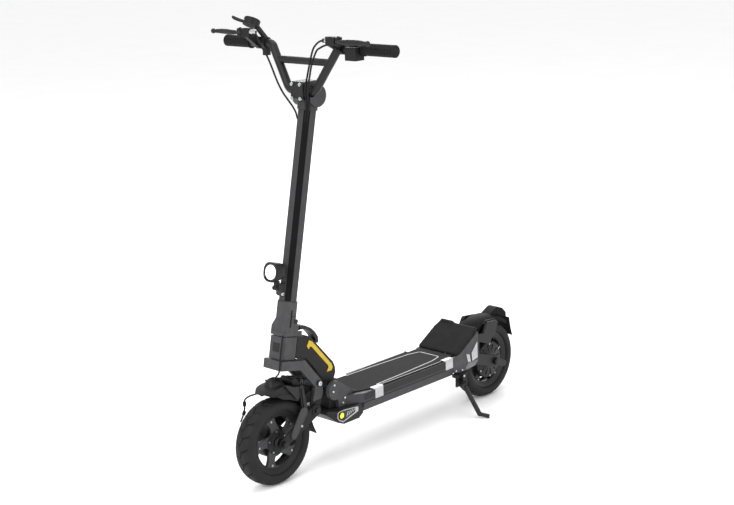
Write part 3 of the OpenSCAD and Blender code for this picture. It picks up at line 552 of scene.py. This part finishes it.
wheel.done("motor_covers", DARK_PAINT, "drive_wheel", bevel=0.5)
screws = Build()
for s in (1, -1):
    for k in range(6):
        w = TAU * (k + 0.5) / 6
        at = world(26.2 * s, AXLE_R + 50 * math.cos(w), AXLE_Z + 50 * math.sin(w))
        bolt(screws, at, (s, 0, 0), 2.8, 2.6)
for k in range(5):
    w = TAU * k / 5 + 0.32
    bolt(screws, world(12.5, AXLE_R + 69 * math.cos(w), AXLE_Z + 69 * math.sin(w)), (1, 0, 0), 3, 3)
screws.done("rear_wheel_bolts", STEEL, "drive_wheel")


# ---------- springs and cables ----------

def coil(a, b, radius, wire, turns):
    axis = (b - a).normalized()
    u = Vector((1, 0, 0))
    v = axis.cross(u)
    steps = turns * 24
    path = []
    for i in range(steps + 1):
        w = TAU * i / 24
        path.append(a + (b - a) * (i / steps) + (u * math.cos(w) + v * math.sin(w)) * radius * MM)
    return tube(path, wire * MM, 10)


front_low, front_high = world(*SPRING_LOW), world(*SPRING_HIGH)
d = (front_high - front_low).normalized()
springs = Build()
dampers = Build()
for x in (SPRING_X, -SPRING_X):
    side = world(x, 0, 0)
    springs.add(*coil(front_low + side + d * 0.008, front_high + side - d * 0.0075, 10, 1.9, 8))
    dampers.add(*tube([front_low + side + d * 0.004, front_high + side - d * 0.006], 0.0066, 16))
coils = springs.done("front_coil_springs", SPRING, "leading_arm", stands_for=["front_springs"])
rods = dampers.done("front_damper_rods", PLASTIC, "leading_arm")
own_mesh(coils)
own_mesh(rods)
rear_low, rear_high = world(0, *REAR_SEAT), world(0, *REAR_EYE)
d = (rear_high - rear_low).normalized()
rear_coil = Build().add(*coil(rear_low + d * 0.008, rear_high - d * 0.009, 8.5, 2.2, 5)).done(
    "rear_coil_spring", SPRING, "trailing_arm", stands_for=["rear_spring"])
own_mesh(rear_coil)

ROUTES = {
    "left_a": [(104.9, -296, 1149), (97, -299, 1147), (86, -302, 1139), (75, -304, 1124), (63, -305, 1090),
               (54, -305, 1062), (43, -302, 1036), (35, -297, 1016), (26, -287, 998), (19, -280, 982),
               (18.8, -281, 969), (14.9, -280.4, 952.8), (11.4, -280.2, 936.4), (7.1, -279.7, 917.9)],
    "left_b": [(118, -285, 1137), (108, -290, 1137), (95, -296, 1131), (83, -300, 1121), (69, -304, 1087),
               (60, -303, 1060), (51, -301, 1036), (42, -296, 1016), (32, -286, 998), (24, -276.5, 982),
               (22.9, -277.3, 969), (19, -276.4, 951.9), (15.5, -276.3, 935.5), (11.2, -275.7, 917)],
    "right": [(-140.9, -296, 1157), (-132, -299, 1150), (-120, -303, 1135), (-106, -304, 1118),
              (-90, -304, 1098), (-75, -304, 1071), (-58, -304, 1038), (-41, -303, 1012), (-26, -300, 993),
              (-15, -295, 976), (-13, -287, 960), (-16, -281, 948), (-14, -277, 934), (-9, -277, 915)],
}
cables = Build()
for route in ROUTES.values():
    cables.add(*tube(smooth_path([world(*p) for p in route], 6), CABLE_R))
cables.done("control_cables", RUBBER, "stem", stands_for=["bar_cables"])
fork_route = [(25, -30, 68), (27, -32, 56), (27, -32.5, 30), (28, -33, 5), (33, -37, -8), (32, -37, -28),
              (24, -38, -40), (14, -37, -51)]
Build().add(*tube(smooth_path([stem(*p) for p in fork_route], 6), BRAKE_CABLE_R)).done(
    "brake_cable_upper", RUBBER, "fork", stands_for=["fork_cable"])
brake_route = [(-6, -460, 260), (-12, -474, 254), (-26, -487, 248), (-40, -490, 236), (-44.6, -488, 222),
               (-44.6, -489, 207), (-44.6, -496, 191), (-44.6, -505, 178)]
loop = Build().add(*tube(smooth_path([world(*p) for p in brake_route], 6), BRAKE_CABLE_R))
loop.add(*tube([world(-42.5, -489.5, 229), world(-44.6, -488, 218)], FERRULE_R, 16))
loop.add(*tube([world(-44.6, -488.5, 204), world(-44.6, -494, 194)], FERRULE_R, 16))
lower = loop.done("brake_cable_lower", RUBBER, None, stands_for=["brake_cable_front"])
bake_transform(lower)


# ---------- handlebar ----------

bar_points = [(24, -273, 1016), (40, -273, 1016), (50, -272.3, 1022.5), (56, -271.3, 1030.5),
              (70, -268.3, 1051.5), (84, -265.3, 1073), (98, -262.2, 1094), (112, -259, 1115.5),
              (117, -257.6, 1122.5), (126, -256.6, 1127.6), (140, -256, 1127.9), (200, -253.5, 1127.5),
              (298, -249.2, 1127)]
tubes = Build()
for s in (1, -1):
    path = smooth_path([world(x * s, y, z) for x, y, z in bar_points], 6)
    tubes.add(*tube(path, 0.011, 28))
tubes.add(*tube([world(x, -273, 1016) for x in (-26, -24, 24, 26)], [0.0112, 0.0160, 0.0160, 0.0112], 36))
tubes.add(*tube([world(-94.8, -262.4, 1089.9), world(94.8, -262.4, 1089.9)], 0.0096, 28))
tubes.done("handlebar_tube", DARK_PAINT, "stem", bevel=0.5, stands_for=["handlebar"])

grips = Build()
for s in (1, -1):
    a, b = world(203 * s, -252, GRIP_Z + 0.45), world(304 * s, GRIP_Y, GRIP_Z)
    axis = (b - a).normalized()
    length = (b - a).length / MM
    rings, around = [], 48
    u = Vector((0, 0, 1))
    v = axis.cross(u)
    stations = [0, 0.4, 3.4, 4.2]
    t = 5.0
    while t < length - 6:
        stations.append(t)
        t += 1.15
    stations += [length - 5, length - 1.2, length - 0.2, length]
    for t in stations:
        ring = []
        for k in range(around):
            w = TAU * k / around
            if t < 3.6:
                r = 17.0 if 0.2 < t else 16.4
            elif t > length - 5.2:
                r = 15.5 if t < length - 1 else (14.6 if t < length - 0.1 else 12.5)
            else:
                band = ((t - 5) % 9.2) > 6.9
                flute = (k % 6) in (0, 1)
                r = 13.9 if band else (14.4 if flute else 15.4)
            ring.append(a + axis * t * MM + (u * math.cos(w) + v * math.sin(w)) * r * MM)
        rings.append(ring)
    grips.add(*loft(rings))
grips.done("ribbed_grips", RUBBER, "stem", smooth=50, stands_for=["grips"])


# brake levers: flattened curved blade with a ball end
def lever(name, at, mirror, body, node):
    build = Build()

    def place(x, y, z):
        return world(mirror * (at[0] + x), at[1] + y, at[2] + z)
    rail = [(-6, -2, 0), (6, -5, 0), (22, -7.5, 0), (40, -6, 0.4), (60, -3.4, 0.6), (78, -1.6, 0.3),
            (92, -3, 0), (97, -4.2, 0)]
    wide = [6.5, 7.6, 7.2, 6.4, 5.6, 5.2, 4.6, 4.4]
    tall = [4.4, 5.2, 6.6, 7.2, 7.0, 6.2, 5.2, 4.6]
    rings = []
    for (x, y, z), w, t in zip(rail, wide, tall):
        ring = []
        for k in range(16):
            q = TAU * k / 16
            c, s = math.cos(q), math.sin(q)
            ring.append(place(x, y + w * math.copysign(abs(c) ** 0.7, c),
                              z + t * math.copysign(abs(s) ** 0.7, s)))
        rings.append(ring)
    build.add(*loft(rings))
    ball = [(6.9 * math.sin(math.pi * k / 14) + 1e-3, -6.9 * math.cos(math.pi * k / 14)) for k in range(15)]
    build.add(*lathe(ball, place(101, -4.5, 0), (1, 0, 0), 24))
    build.add(*lathe([(3.1, -4.7), (8.2, -4.7), (9, -4), (9, 4), (8.2, 4.7), (3.1, 4.7)], place(0, 0, 0),
                     (0, 0, 1), 32))
    build.done(name, DARK_PAINT, body, smooth=50, sub=1, stands_for=[node])


lever("left_lever_blade", (160, -298, 1149), 1, "left_lever", "brake_lever_left")
lever("right_lever_blade", (196, -298, 1157), -1, "right_lever", "brake_lever_right")


# ---------- headlight ----------

def rounded_square(half_w, half_h, r):
    pts, steps = [], 6
    for cx, cy, start in ((half_w - r, half_h - r, 0), (-half_w + r, half_h - r, 90),
                          (-half_w + r, -half_h + r, 180), (half_w - r, -half_h + r, 270)):
        for k in range(steps + 1):
            w = math.radians(start + 90 * k / steps)
            pts.append((cx + r * math.cos(w), cy + r * math.sin(w)))
    return pts


lamp = Build()
sections = [(-36.2, 17, 15, 8, 4), (-38, 20, 18, 10, 4), (-46, 22.5, 20.5, 13, 3), (-56, 24.5, 23.5, 17, 1.5),
            (-66, 25.6, 25.6, 19, 0), (-72, 25.8, 25.8, 20, 0), (-74, 24.4, 24.4, 19.5, 0),
            (-74.0, 23.0, 23.0, 20, 0), (-72.0, 22.6, 22.6, 20, 0)]
rings = [[stem(x, n, LAMP_S + z + lift) for x, z in rounded_square(w, h, r)] for n, w, h, r, lift in sections]
lamp.add(*loft(rings))
for k in range(4):
    n0 = -42 - k * 4.6
    lamp.add(*loft([[stem(x, n, 252.2 - 0.12 * k + z) for x, z in rounded_square(14, 1.1, 1.0)]
                    for n in (n0, n0 - 2)]))
lamp.add(*prism([(-52, 188), (-50, 182.6), (-46, 181.8), (-42, 182.6), (-40, 188), (-40, 207), (-52, 207)],
                -5, 5, lambda x, n, s: stem(x, n, s)))
lamp.done("headlight_body", PLASTIC, "lamp", bevel=0.5, stands_for=["headlight"])
dome = [(0.01, -1.0), (0.01, 2.0), (6, 1.9), (12, 1.5), (18, 0.9), (21.6, 0.0), (22.2, -1.0)]
Build().add(*lathe(dome, stem(0, -71.4, LAMP_S), stem(0, -1, 0) - stem(0, 0, 0), 48)).done(
    "headlight_lens", WHITE, "lamp")
rim = [(22.2, -1.5), (22.2, 0.9), (23.4, 1.7), (24.4, 0.9), (24.4, -1.5)]
Build().add(*lathe(rim, stem(0, -72, LAMP_S), stem(0, -1, 0) - stem(0, 0, 0), 64)).done(
    "headlight_bezel", GLOSS, "lamp")


# ---------- fenders ----------

def shell(path, thick, crown, skirt, name, mat, body, replaced):
    """Fender: path of (a, b, half width), each section arched with turned-down skirts."""
    rings = []
    count = len(path)
    for i, (a, b, half) in enumerate(path):
        p = path[min(i + 1, count - 1)]
        q = path[max(i - 1, 0)]
        ta, tb = p[0] - q[0], p[1] - q[1]
        size = math.hypot(ta, tb)
        na, nb = -tb / size, ta / size
        section = []
        drop = skirt(i / (count - 1))
        for k in range(13):
            u = -1 + k / 6
            section.append((u * half, crown * (1 - abs(u) ** 2.2)))
        section = [(-half - 0.2, -drop)] + section + [(half + 0.2, -drop)]
        outer = [(x, h) for x, h in section]
        inner = [(x * (half - thick) / half, h - (thick if 0 < k < len(section) - 1 else 0))
                 for k, (x, h) in enumerate(section)]
        rings.append([world(x, a + na * h, b + nb * h) for x, h in outer + inner[::-1]])
    return piece(name, *loft(rings), mat, body, smooth=40, stands_for=replaced)


front_line = [(-479, 255, 13), (-473, 257, 18), (-464, 259.8, 26), (-454, 262.5, 32), (-438, 266.5, 33),
              (-418, 267, 33), (-396, 259.5, 33), (-380, 250, 33), (-364, 236, 32), (-349, 214, 29),
              (-340, 196, 24.5), (-331, 175, 24)]
front_smooth = [tuple(v) for v in smooth_path(front_line, 4)]


def front_skirt(t):
    """Depth of the turned-down edge along the front fender."""
    return 2 + 25 * (1 - 0.5 * t) * math.sin(math.pi * min(1, max(0, (t - 0.10) * 1.2))) ** 0.8


shell(front_smooth, 2.4, 3, front_skirt, "front_fender_shell", PLASTIC, "fork", ["front_fender"])
rings = []
for y, z, half, rise in ((-447, 268, 17, 2), (-444.5, 269, 18, 9), (-440, 270, 19.5, 15.5),
                         (-434, 271, 21, 17.5), (-421, 270.5, 23, 18), (-406, 266, 22, 15),
                         (-396, 261, 18, 9), (-389, 257, 12, 3)):
    rings.append([world(u * half, y, z + rise * (1 - abs(u) ** 3) - 5 * abs(u)) for u in
                  (-1, -0.86, -0.6, -0.3, 0, 0.3, 0.6, 0.86, 1)]
                 + [world(u * half, y, z - 6) for u in (1, 0, -1)])
Build().add(*loft(rings)).done("front_fender_hump", PLASTIC, "fork", smooth=25, bevel=0.8)
rings = []
for t in range(13):
    y = -442 + 46 * t / 12
    rings.append([world(x, y, 264.5 + 5.5 * math.sin(math.pi * t / 12) + q) for x, q in
                  ((2.2, 15), (2.2, 0), (-2.2, 0), (-2.2, 15))])
ridge = Build().add(*loft(rings))
skirt_rib = [(-450, 249), (-424, 234), (-398, 226), (-371, 214), (-358, 226), (-390, 240), (-424, 249)]
for s in (1, -1):
    ridge.add(*prism(skirt_rib, 31.5 * s, 34.5 * s, world))
ridge.done("front_fender_ribs", PLASTIC, "fork", bevel=0.8)
bridge = [(-345.5, 209), (-337.5, 193), (-302, 198), (-302, 216), (-311, 225), (-326, 225), (-343, 213)]
Build().add(*prism(bridge, -24.8, 24.8, world)).done(
    "front_fender_bridge", RUBBER, "fork", bevel=3, segments=3)

rear_arc = []
for k in range(25):
    w = math.radians(146 - (146 - 52) * k / 24)
    half = 37 - 6 * (k / 24) ** 2
    rear_arc.append((AXLE_R + 130.5 * math.cos(w), AXLE_Z + 130.5 * math.sin(w), half))
shell(rear_arc, 2.4, 7.5, lambda t: 9.0, "rear_fender_shell", BLACK_AND_RECESS_SHADE, "trailing_arm",
      ["rear_fender"])
tail = Build()
tail.add(*prism([(449, 250), (482, 266), (492, 267), (514, 258), (530, 242), (531, 222), (525, 219),
                 (516, 227), (486, 243)], -18, 18, world))
tail.done("tail_lamp_housing", BLACK_AND_RECESS_SHADE, "trailing_arm", bevel=2.4, segments=3)
tail = Build()
tail.add(*prism([(517, 256.5), (532, 241), (532, 232), (529, 232), (529, 239), (513, 255)], -14, 14, world))
tail.done("tail_lamp_lens", RED, "trailing_arm", bevel=1.2)
tail = Build()
for s in (1, -1):
    tail.add(*prism([(392, 240), (402, 250), (446, 245), (446, 237), (404, 237)], 36 * s, 42 * s, world))
tail.done("rear_fender_stays", PLASTIC, "trailing_arm", bevel=1.2)


def flap(name, points, half, thick, body, replaced=()):
    rings = []
    for y, z, nudge in points:
        ring = []
        for k in range(13):
            x = -half + 2 * half * k / 12
            bow = 2.5 * (1 - (x / half) ** 2)
            ring.append(world(x, y + nudge + bow, z))
        for k in range(12, -1, -1):
            x = -half + 2 * half * k / 12
            bow = 2.5 * (1 - (x / half) ** 2)
            ring.append(world(x, y + nudge + bow - thick, z))
        rings.append(ring)
    return piece(name, *loft(rings), RUBBER, body, bevel=0.5, stands_for=replaced)


flap("rear_flap", [(533, 226, 0), (535, 212, 0), (538.5, 196, 0), (542, 182, 0), (547.0, 168, 0),
                   (547.6, 166, 0)], 28, 3.0, "trailing_arm")
flap("front_flap_rubber", [(-331, 186, 0), (-327, 174, 0), (-323.5, 165, 0), (-318.5, 153, 0), (-314, 141, 0),
                           (-309, 125, 0), (-301, 108, 0), (-298, 101, 0)], 24.4, 2.6, "fork", ["front_flap"])


# ---------- deck ----------

MAT_TOP = 191.0
mat_outline = [(58, 224), (61.7, 217), (61.7, 167.7), (73, 167.7), (73, -89.7), (61.7, -89.7), (61.7, -128.3),
               (67.8, -128.3), (46, -196)]
mat_full = mat_outline + [(-x, y) for x, y in reversed(mat_outline)]


def flat(z, x, y):
    """Place of a plan outline at a height."""
    return world(x, y, z)


Build().add(*prism(mat_full, 188.0, MAT_TOP, flat)).done(
    "deck_grip_mat", MAT, "frame", bevel=0.8, stands_for=["deck_mat"])


def band(points, width):
    """Flat strip along an open line of points in plan."""
    left, right = [], []
    for i, (x, y) in enumerate(points):
        ax, ay = points[max(i - 1, 0)]
        bx, by = points[min(i + 1, len(points) - 1)]
        tx, ty = bx - ax, by - ay
        s = math.hypot(tx, ty)
        nx, ny = -ty / s * width / 2, tx / s * width / 2
        left.append((x + nx, y + ny))
        right.append((x - nx, y - ny))
    return left + right[::-1]


inlay = Build()
half_loop = [(58, -96), (55, 10), (47, 150), (38, 186), (32, 191)]
loop_line = half_loop + [(-x, y) for x, y in reversed(half_loop)]
inlay.add(*prism(band(loop_line, 3.6), MAT_TOP - 0.6, MAT_TOP + 0.25, flat))
for s in (1, -1):
    side_line = [(60 * s, -98), (66 * s, -86), (69.5 * s, 20), (70 * s, 120), (70 * s, 160)]
    inlay.add(*prism(band(side_line, 2.2), MAT_TOP - 0.6, MAT_TOP + 0.25, flat))
inlay.done("deck_mat_inlay", OUTLINE, "frame")
rails = Build()
for s in (1, -1):
    for low, high, proud in ((167, 184.5, 1.2), (158.8, 162.5, 1.0)):
        rails.add(*prism([(-163, low), (211, low), (211, high), (-163, high)],
                         DECK_SIDE_X * s, (DECK_SIDE_X + proud) * s, world))
rails.done("deck_side_rails", DARK_PAINT, "frame", bevel=0.4)


# ---------- side lamps, chrome, small trims and painted recess shade ---

arrow = [(-266, 158), (-258, 161.5), (-238, 162), (-188, 157), (-186, 152), (-187, 143), (-246, 128),
         (-262, 137), (-267, 146)]
inner = [(-263, 156.5), (-257, 159), (-238, 159.4), (-199, 155.5), (-198, 150.5), (-199, 144.3),
         (-246, 131.4), (-260, 138.6), (-264, 146.5)]
frames, panels, rings_b, stripes = Build(), Build(), Build(), Build()
lamp_at = (-250, 148)
for s in (1, -1):
    ring_verts = []
    for x in (70.7, 73.2):
        ring_verts += [world(x * s, y, z) for y, z in arrow] + [world(x * s, y, z) for y, z in inner]
    n = len(arrow)
    faces = []
    for k in range(n):
        q = (k + 1) % n
        faces += [[k, q, n + q, n + k], [2 * n + k, 2 * n + q, 3 * n + q, 3 * n + k],
                  [k, q, 2 * n + q, 2 * n + k], [n + k, n + q, 3 * n + q, 3 * n + k]]
    frames.add(ring_verts, faces)
    panels.add(*prism(inner, 68.0 * s, 71.2 * s, world))
    for k in range(4):
        y = -232 + 8.5 * k
        low = 132.5 + 0.26 * (y + 246)
        stripes.add(*prism([(y, low + 3), (y + 2.4, low + 3.6), (y + 9, 153 - 0.04 * k), (y + 6.6, 153)],
                           71.0 * s, 71.7 * s, world))
    centre = world(71 * s, *lamp_at)
    rings_b.add(*lathe([(8.6, -1), (8.6, 3.2), (9.6, 4.0), (11.6, 3.0), (11.6, -1)], centre, (s, 0, 0), 48))
frames.done("side_lamp_frames", SILVER, "frame", bevel=0.5, stands_for=["signal_bezels"])
panels.done("side_lamp_panels", GLOSS, "frame")
stripes.done("side_lamp_stripes", OUTLINE, "frame")
rings_b.done("side_lamp_rings", PLASTIC, "frame", bevel=0.3)
lenses = Build()
for s in (1, -1):
    lenses.add(*lathe([(0.01, -1), (0.01, 4.6), (4, 4.3), (7, 3.3), (8.5, 2.0), (8.5, -1)],
                      world(71 * s, *lamp_at), (s, 0, 0), 40))
lenses.done("side_lamp_lenses", LENS, "frame", stands_for=["signal_lenses"])
chrome = Build()
for s in (1, -1):
    chrome.add(*prism([(319, 212), (292, 183), (295, 158), (320, 163)], 74.0 * s, 76.2 * s, world))
    chrome.add(*prism([(268, 186), (284, 181), (289, 157.5), (276, 159.5)], 74.0 * s, 75.6 * s, world))
chrome.done("rear_chrome_trims", SILVER, "frame", bevel=0.8)
blends = Build()
for s in (1, -1):
    blends.add(*prism([(277, 157), (318, 157), (322, 152), (309, 141), (268, 137.5), (266, 144)], 73.8 * s,
                      74.8 * s, world))
blends.done("fairing_lower_panels", SILVER_DIM, "frame", bevel=0.5)
rest = Build()
rings = []
for k in range(49):
    x = -65 + 130 * k / 48
    rise = 6.5 if x < -26 else (0.4 + 6.1 * max(0.0, 1 - (x + 26) / 12) + 3.2 * max(0.0, (x - 30) / 35) ** 2)
    rings.append([world(x, 316, 244), world(x, 319, 247 + rise), world(x, 324, 249 + rise),
                  world(x, 329.5, 248 + rise), world(x, 330, 243)])
rest.add(*loft(rings))
rest.done("footrest_lip", RUBBER, "frame", bevel=0.6)
kick_bolts = Build()
bolt(kick_bolts, world(92, 236, 132), (1, 0, 0), 3.4, 2.4)
kick_bolts.done("stand_bracket_bolt", STEEL, "frame")
lip_line = [world(x, -273, 154) for x in (-43, -42, 42, 43)]
Build().add(*tube(lip_line, [0.0065, 0.0078, 0.0078, 0.0065], 24)).done("nose_lip", DARK_PAINT, "frame")


def facet(d, t, s_mm):
    """Point on the stem's front left face: d outwards from the axis, t across the face."""
    c = math.sqrt(0.5)
    return stem((d + t) * c, (-d + t) * c, s_mm)


# Very dark strip on the floor of the channel on the stem's front left face: a black inlay, darkened further
# as painted shade of the recess.
Build().add(*loft([[facet(d, t, s_mm) for d, t in ((20.9, -7.9), (20.9, 7.9), (21.9, 7.9), (21.9, -7.9))]
                   for s_mm in (156.5, 647.5)])).done("stem_channel_black_floor_and_shade", BLACK_AND_RECESS_SHADE, "stem")
edge = Build()
lip_section = [(22.6, -0.5), (23.15, -0.5), (23.15, 0.5), (22.6, 0.5)]
for t in (-8.1, 8.1):
    edge.add(*loft([[facet(d, t + q, s_mm) for d, q in lip_section] for s_mm in (156, 648)]))
edge.done("stem_channel_lips", DARK_PAINT, "stem")
Build().add(*loft([[stem(x, n, 33 + z) for x, z in rounded_square(12, 12, 1.5)]
                   for n in (-24.6, -25.7)])).done("head_plain_badge", DARK_PAINT, "frame", bevel=0.3)
# Painted shade: dark strips on the sleeve's side stand in for the shade inside its slits.
Build().add(*loft([[stem(x, n, s_mm) for x, n in ((25.5, -8.6), (26.25, -8.6), (26.25, -4.6), (25.5, -4.6))]
                   for s_mm in (88, 134)])).done("sleeve_slits_painted_shade", BLACK_AND_RECESS_SHADE, "stem")
shiny = Build()
for s in (1, -1):
    bolt(shiny, world(37.6 * s, *SPRING_HIGH[1:]), (s, 0, 0), 6.4, 3.2)
    bolt(shiny, world(9.6 * s, *(stem(0, -31, 174).yz / MM)), (s, 0, 0), 4.2, 3.0)
shiny.done("fork_bright_bolts", STEEL, "fork")


# ---------- front arm ----------

def link(a, b, ra, rb, steps=10):
    """Outline of a flat link between two circles."""
    dy, dz = b[0] - a[0], b[1] - a[1]
    w = math.atan2(dz, dy)
    k = math.acos((ra - rb) / math.hypot(dy, dz))
    out = []
    for i in range(steps + 1):
        q = w + k + (TAU - 2 * k) * i / steps
        out.append((a[0] + ra * math.cos(q), a[1] + ra * math.sin(q)))
    for i in range(steps + 1):
        q = w - k + 2 * k * i / steps
        out.append((b[0] + rb * math.cos(q), b[1] + rb * math.sin(q)))
    return out


arms, dark_ends_and_shade, horns, arm_bolts = Build(), Build(), Build(), Build()
horn_plate = [(-363, 246), (-372, 222), (-379, 222), (-404, 251), (-417, 266), (-417, 272.5), (-386, 259),
              (-366, 255)]
for s in (1, -1):
    arms.add(*prism(link((-362, 184), (-400, 130), 13, 10.5), 41 * s, 46 * s, world))
    # Dark plates from the pivot to the axle and a dark disc round the pivot: the arm's dark dropout, with
    # painted shade on the pivot disc where the leg's lower end lies in shadow.
    dark_ends_and_shade.add(*prism(link(ARM_PIVOT, (AXLE_F, AXLE_Z), 17, 13.5), 36.2 * s, 42 * s, world))
    dark_ends_and_shade.add(*lathe([(0.5, 36 * s), (0.5, 46.4 * s), (13, 46.4 * s), (16, 44 * s), (16.5, 36 * s)],
                    world(0, *ARM_PIVOT), (1, 0, 0), 40))
    horns.add(*prism(link((-352, 175), HORN_TOP, 10, 7.5), 36.4 * s, 41.5 * s, world))
    horns.add(*prism(link((-353, 172), (-363, 246), 4, 3), 41 * s, 44.5 * s, world))
    horns.add(*prism(horn_plate, 37 * s, 40 * s, world))
    bolt(arm_bolts, world(45.8 * s, -373, 149), (s, 0, 0), 3.2, 2.2)
horns.add(*tube([world(-37, *HORN_TOP), world(37, *HORN_TOP)], 0.0055, 24))
saddle = Build().add(*prism(link((-370, 265), HORN_TOP, 10, 5.4, 16), -24, 24, world))
for x in (SPRING_X, -SPRING_X):
    saddle.add(*lathe([(0.5, 0), (0.5, 7), (9, 7), (12, 5), (12.4, 0)], world(x, -359, 260.7),
                      front_low - front_high, 32))
arms.done("front_arm_bars", PAINT, "leading_arm", bevel=2.0, segments=3, stands_for=["front_arm"])
dark_ends_and_shade.done("front_arm_dark_ends_and_painted_shade", PLASTIC, "leading_arm", bevel=0.8)
horns.done("front_arm_horns", DARK_PAINT, "leading_arm", bevel=0.8)
saddle.done("front_spring_saddle", PLASTIC, "leading_arm", bevel=2, segments=3)
arm_bolts.done("front_arm_bolts", STEEL, "leading_arm")
# Painted shade: dark plates on the lower ends of the fork legs, round the arm's pivot, where the legs lie in
# shadow.
leg_shade_plates = Build()
leg_shade_outline = [(-322, 198), (-288.5, 198), (-287, 192), (-301, 166), (-332, 166), (-331, 180)]
for s in (1, -1):
    leg_shade_plates.add(*prism(leg_shade_outline, 34.1 * s, 35.7 * s, world))
leg_shade_plates.done("fork_leg_painted_shade_plates", PLASTIC, "fork", bevel=0.5)


# ---------- bar controls ----------

adjusters = Build()
for x, y, z, s, k in ((160, -296, 1149, 1, 1.0), (197, -297, 1160, -1, 1.3)):
    outline = [(2.5, 0), (4.8, 0), (5.6, 1.2), (5.6, 7), (4.2, 8), (4.2, 14), (3.0, 15), (2.5, 15)]
    adjusters.add(*lathe([(r * k, t * k) for r, t in outline], world((x - 40) * s, y, z), (-s, 0, 0), 24))
adjusters.done("cable_adjusters", STEEL, "stem")


def on_display(x, y, z):
    """Point in the tilted display's frame."""
    cx, cy, cz = DISPLAY_AT
    c, s = math.cos(DISPLAY_TILT), math.sin(DISPLAY_TILT)
    return world(cx + x, cy + y * c - z * s, cz + y * s + z * c)


paddle = Build()
rail = [(-13, 0, -1, 5.5, 3.9), (-20, -6, -1, 5.4, 3.9), (-30, -12.5, -1, 5.2, 4.3),
        (-40, -18.5, 0.4, 5.2, 4.8), (-47, -22.5, 1.8, 5.0, 4.8), (-51, -24.5, 3.2, 4.4, 3.8),
        (-52.5, -25.3, 4.0, 2.6, 2.2)]
rings = []
for i, (x, y, z, half, tall) in enumerate(rail):
    ax, ay = rail[max(i - 1, 0)][:2]
    bx, by = rail[min(i + 1, len(rail) - 1)][:2]
    size = math.hypot(bx - ax, by - ay)
    nx, ny = -(by - ay) / size, (bx - ax) / size
    rings.append([on_display(x + nx * half * math.cos(TAU * k / 16), y + ny * half * math.cos(TAU * k / 16),
                             z + tall * math.sin(TAU * k / 16)) for k in range(16)])
paddle.add(*loft(rings))
paddle.done("throttle_paddle", PLASTIC, "throttle", smooth=50, sub=1, stands_for=["throttle_trigger"])
screen_dome = [(13, 9.4), (12.6, 11.2), (9.5, 12.8), (5, 13.6), (0.6, 13.8)]
Build().add(*loft([[on_display(r * math.cos(TAU * k / 40) - 3, r * math.sin(TAU * k / 40) - 3, z)
                    for k in range(40)] for r, z in screen_dome])).done("display_window", GLOSS, "stem")


# ---------- CAD nodes that stay ----------

for node, mat, bevel in (
        ("deck_shell", PAINT, 1.2), ("deck_fasteners", STEEL, 0.5), ("deck_trims", SILVER, 0.8),
        ("nose_housing", DARK_PAINT, 1.6), ("charge_port", PLASTIC, 0.5), ("neck_plates", CAST, 1.2),
        ("neck_beam", PLASTIC, 2.0), ("head_block", CAST, 1.0), ("reflector_strips", YELLOW, 0.4),
        ("steering_bearings", STEEL, 0.4), ("battery_pack", CELLS, 2.0), ("motor_controller", SILVER, 0.5),
        ("footrest", RUBBER, 2.6), ("rear_fairing", CAST, 1.5), ("rear_bracket", DARK_PAINT, 1.0),
        ("kick_bracket", PLASTIC, 0.8), ("kickstand", DARK_PAINT, 0.8), ("fork_crown", CAST, 1.6),
        ("steerer", STEEL, 0.5), ("hinge_base", CAST, 0.8), ("fork_bolts", BLACK_STEEL, 0.6),
        ("front_axle", BLACK_STEEL, 0.5), ("drum_plate", DARK_PAINT, 0.8),
        ("front_brake_arm", BLACK_STEEL, 0.5), ("front_bearings", STEEL, 0.4),
        ("fold_lever", DARK_PAINT, 1.4), ("stem_sleeve", CAST, 1.2),
        ("stem_tube", PAINT, 0.6), ("stem_head", PAINT, 1.2), ("clamp_plate", DARK_PAINT, 1.2),
        ("clamp_bolts", STEEL, 0.4), ("brake_perches", PLASTIC, 1.0), ("display_unit", PLASTIC, 1.2),
        ("display_button", BUTTON, 0.6), ("switch_pod", PLASTIC, 2.4), ("horn_button", PLASTIC, 0.5),
        ("lamp_bracket", DARK_PAINT, 0.8), ("rear_arm", DARK_PAINT, 1.4), ("motor_stator", BLACK_STEEL, 0.5)):
    dress(node, mat, bevel)
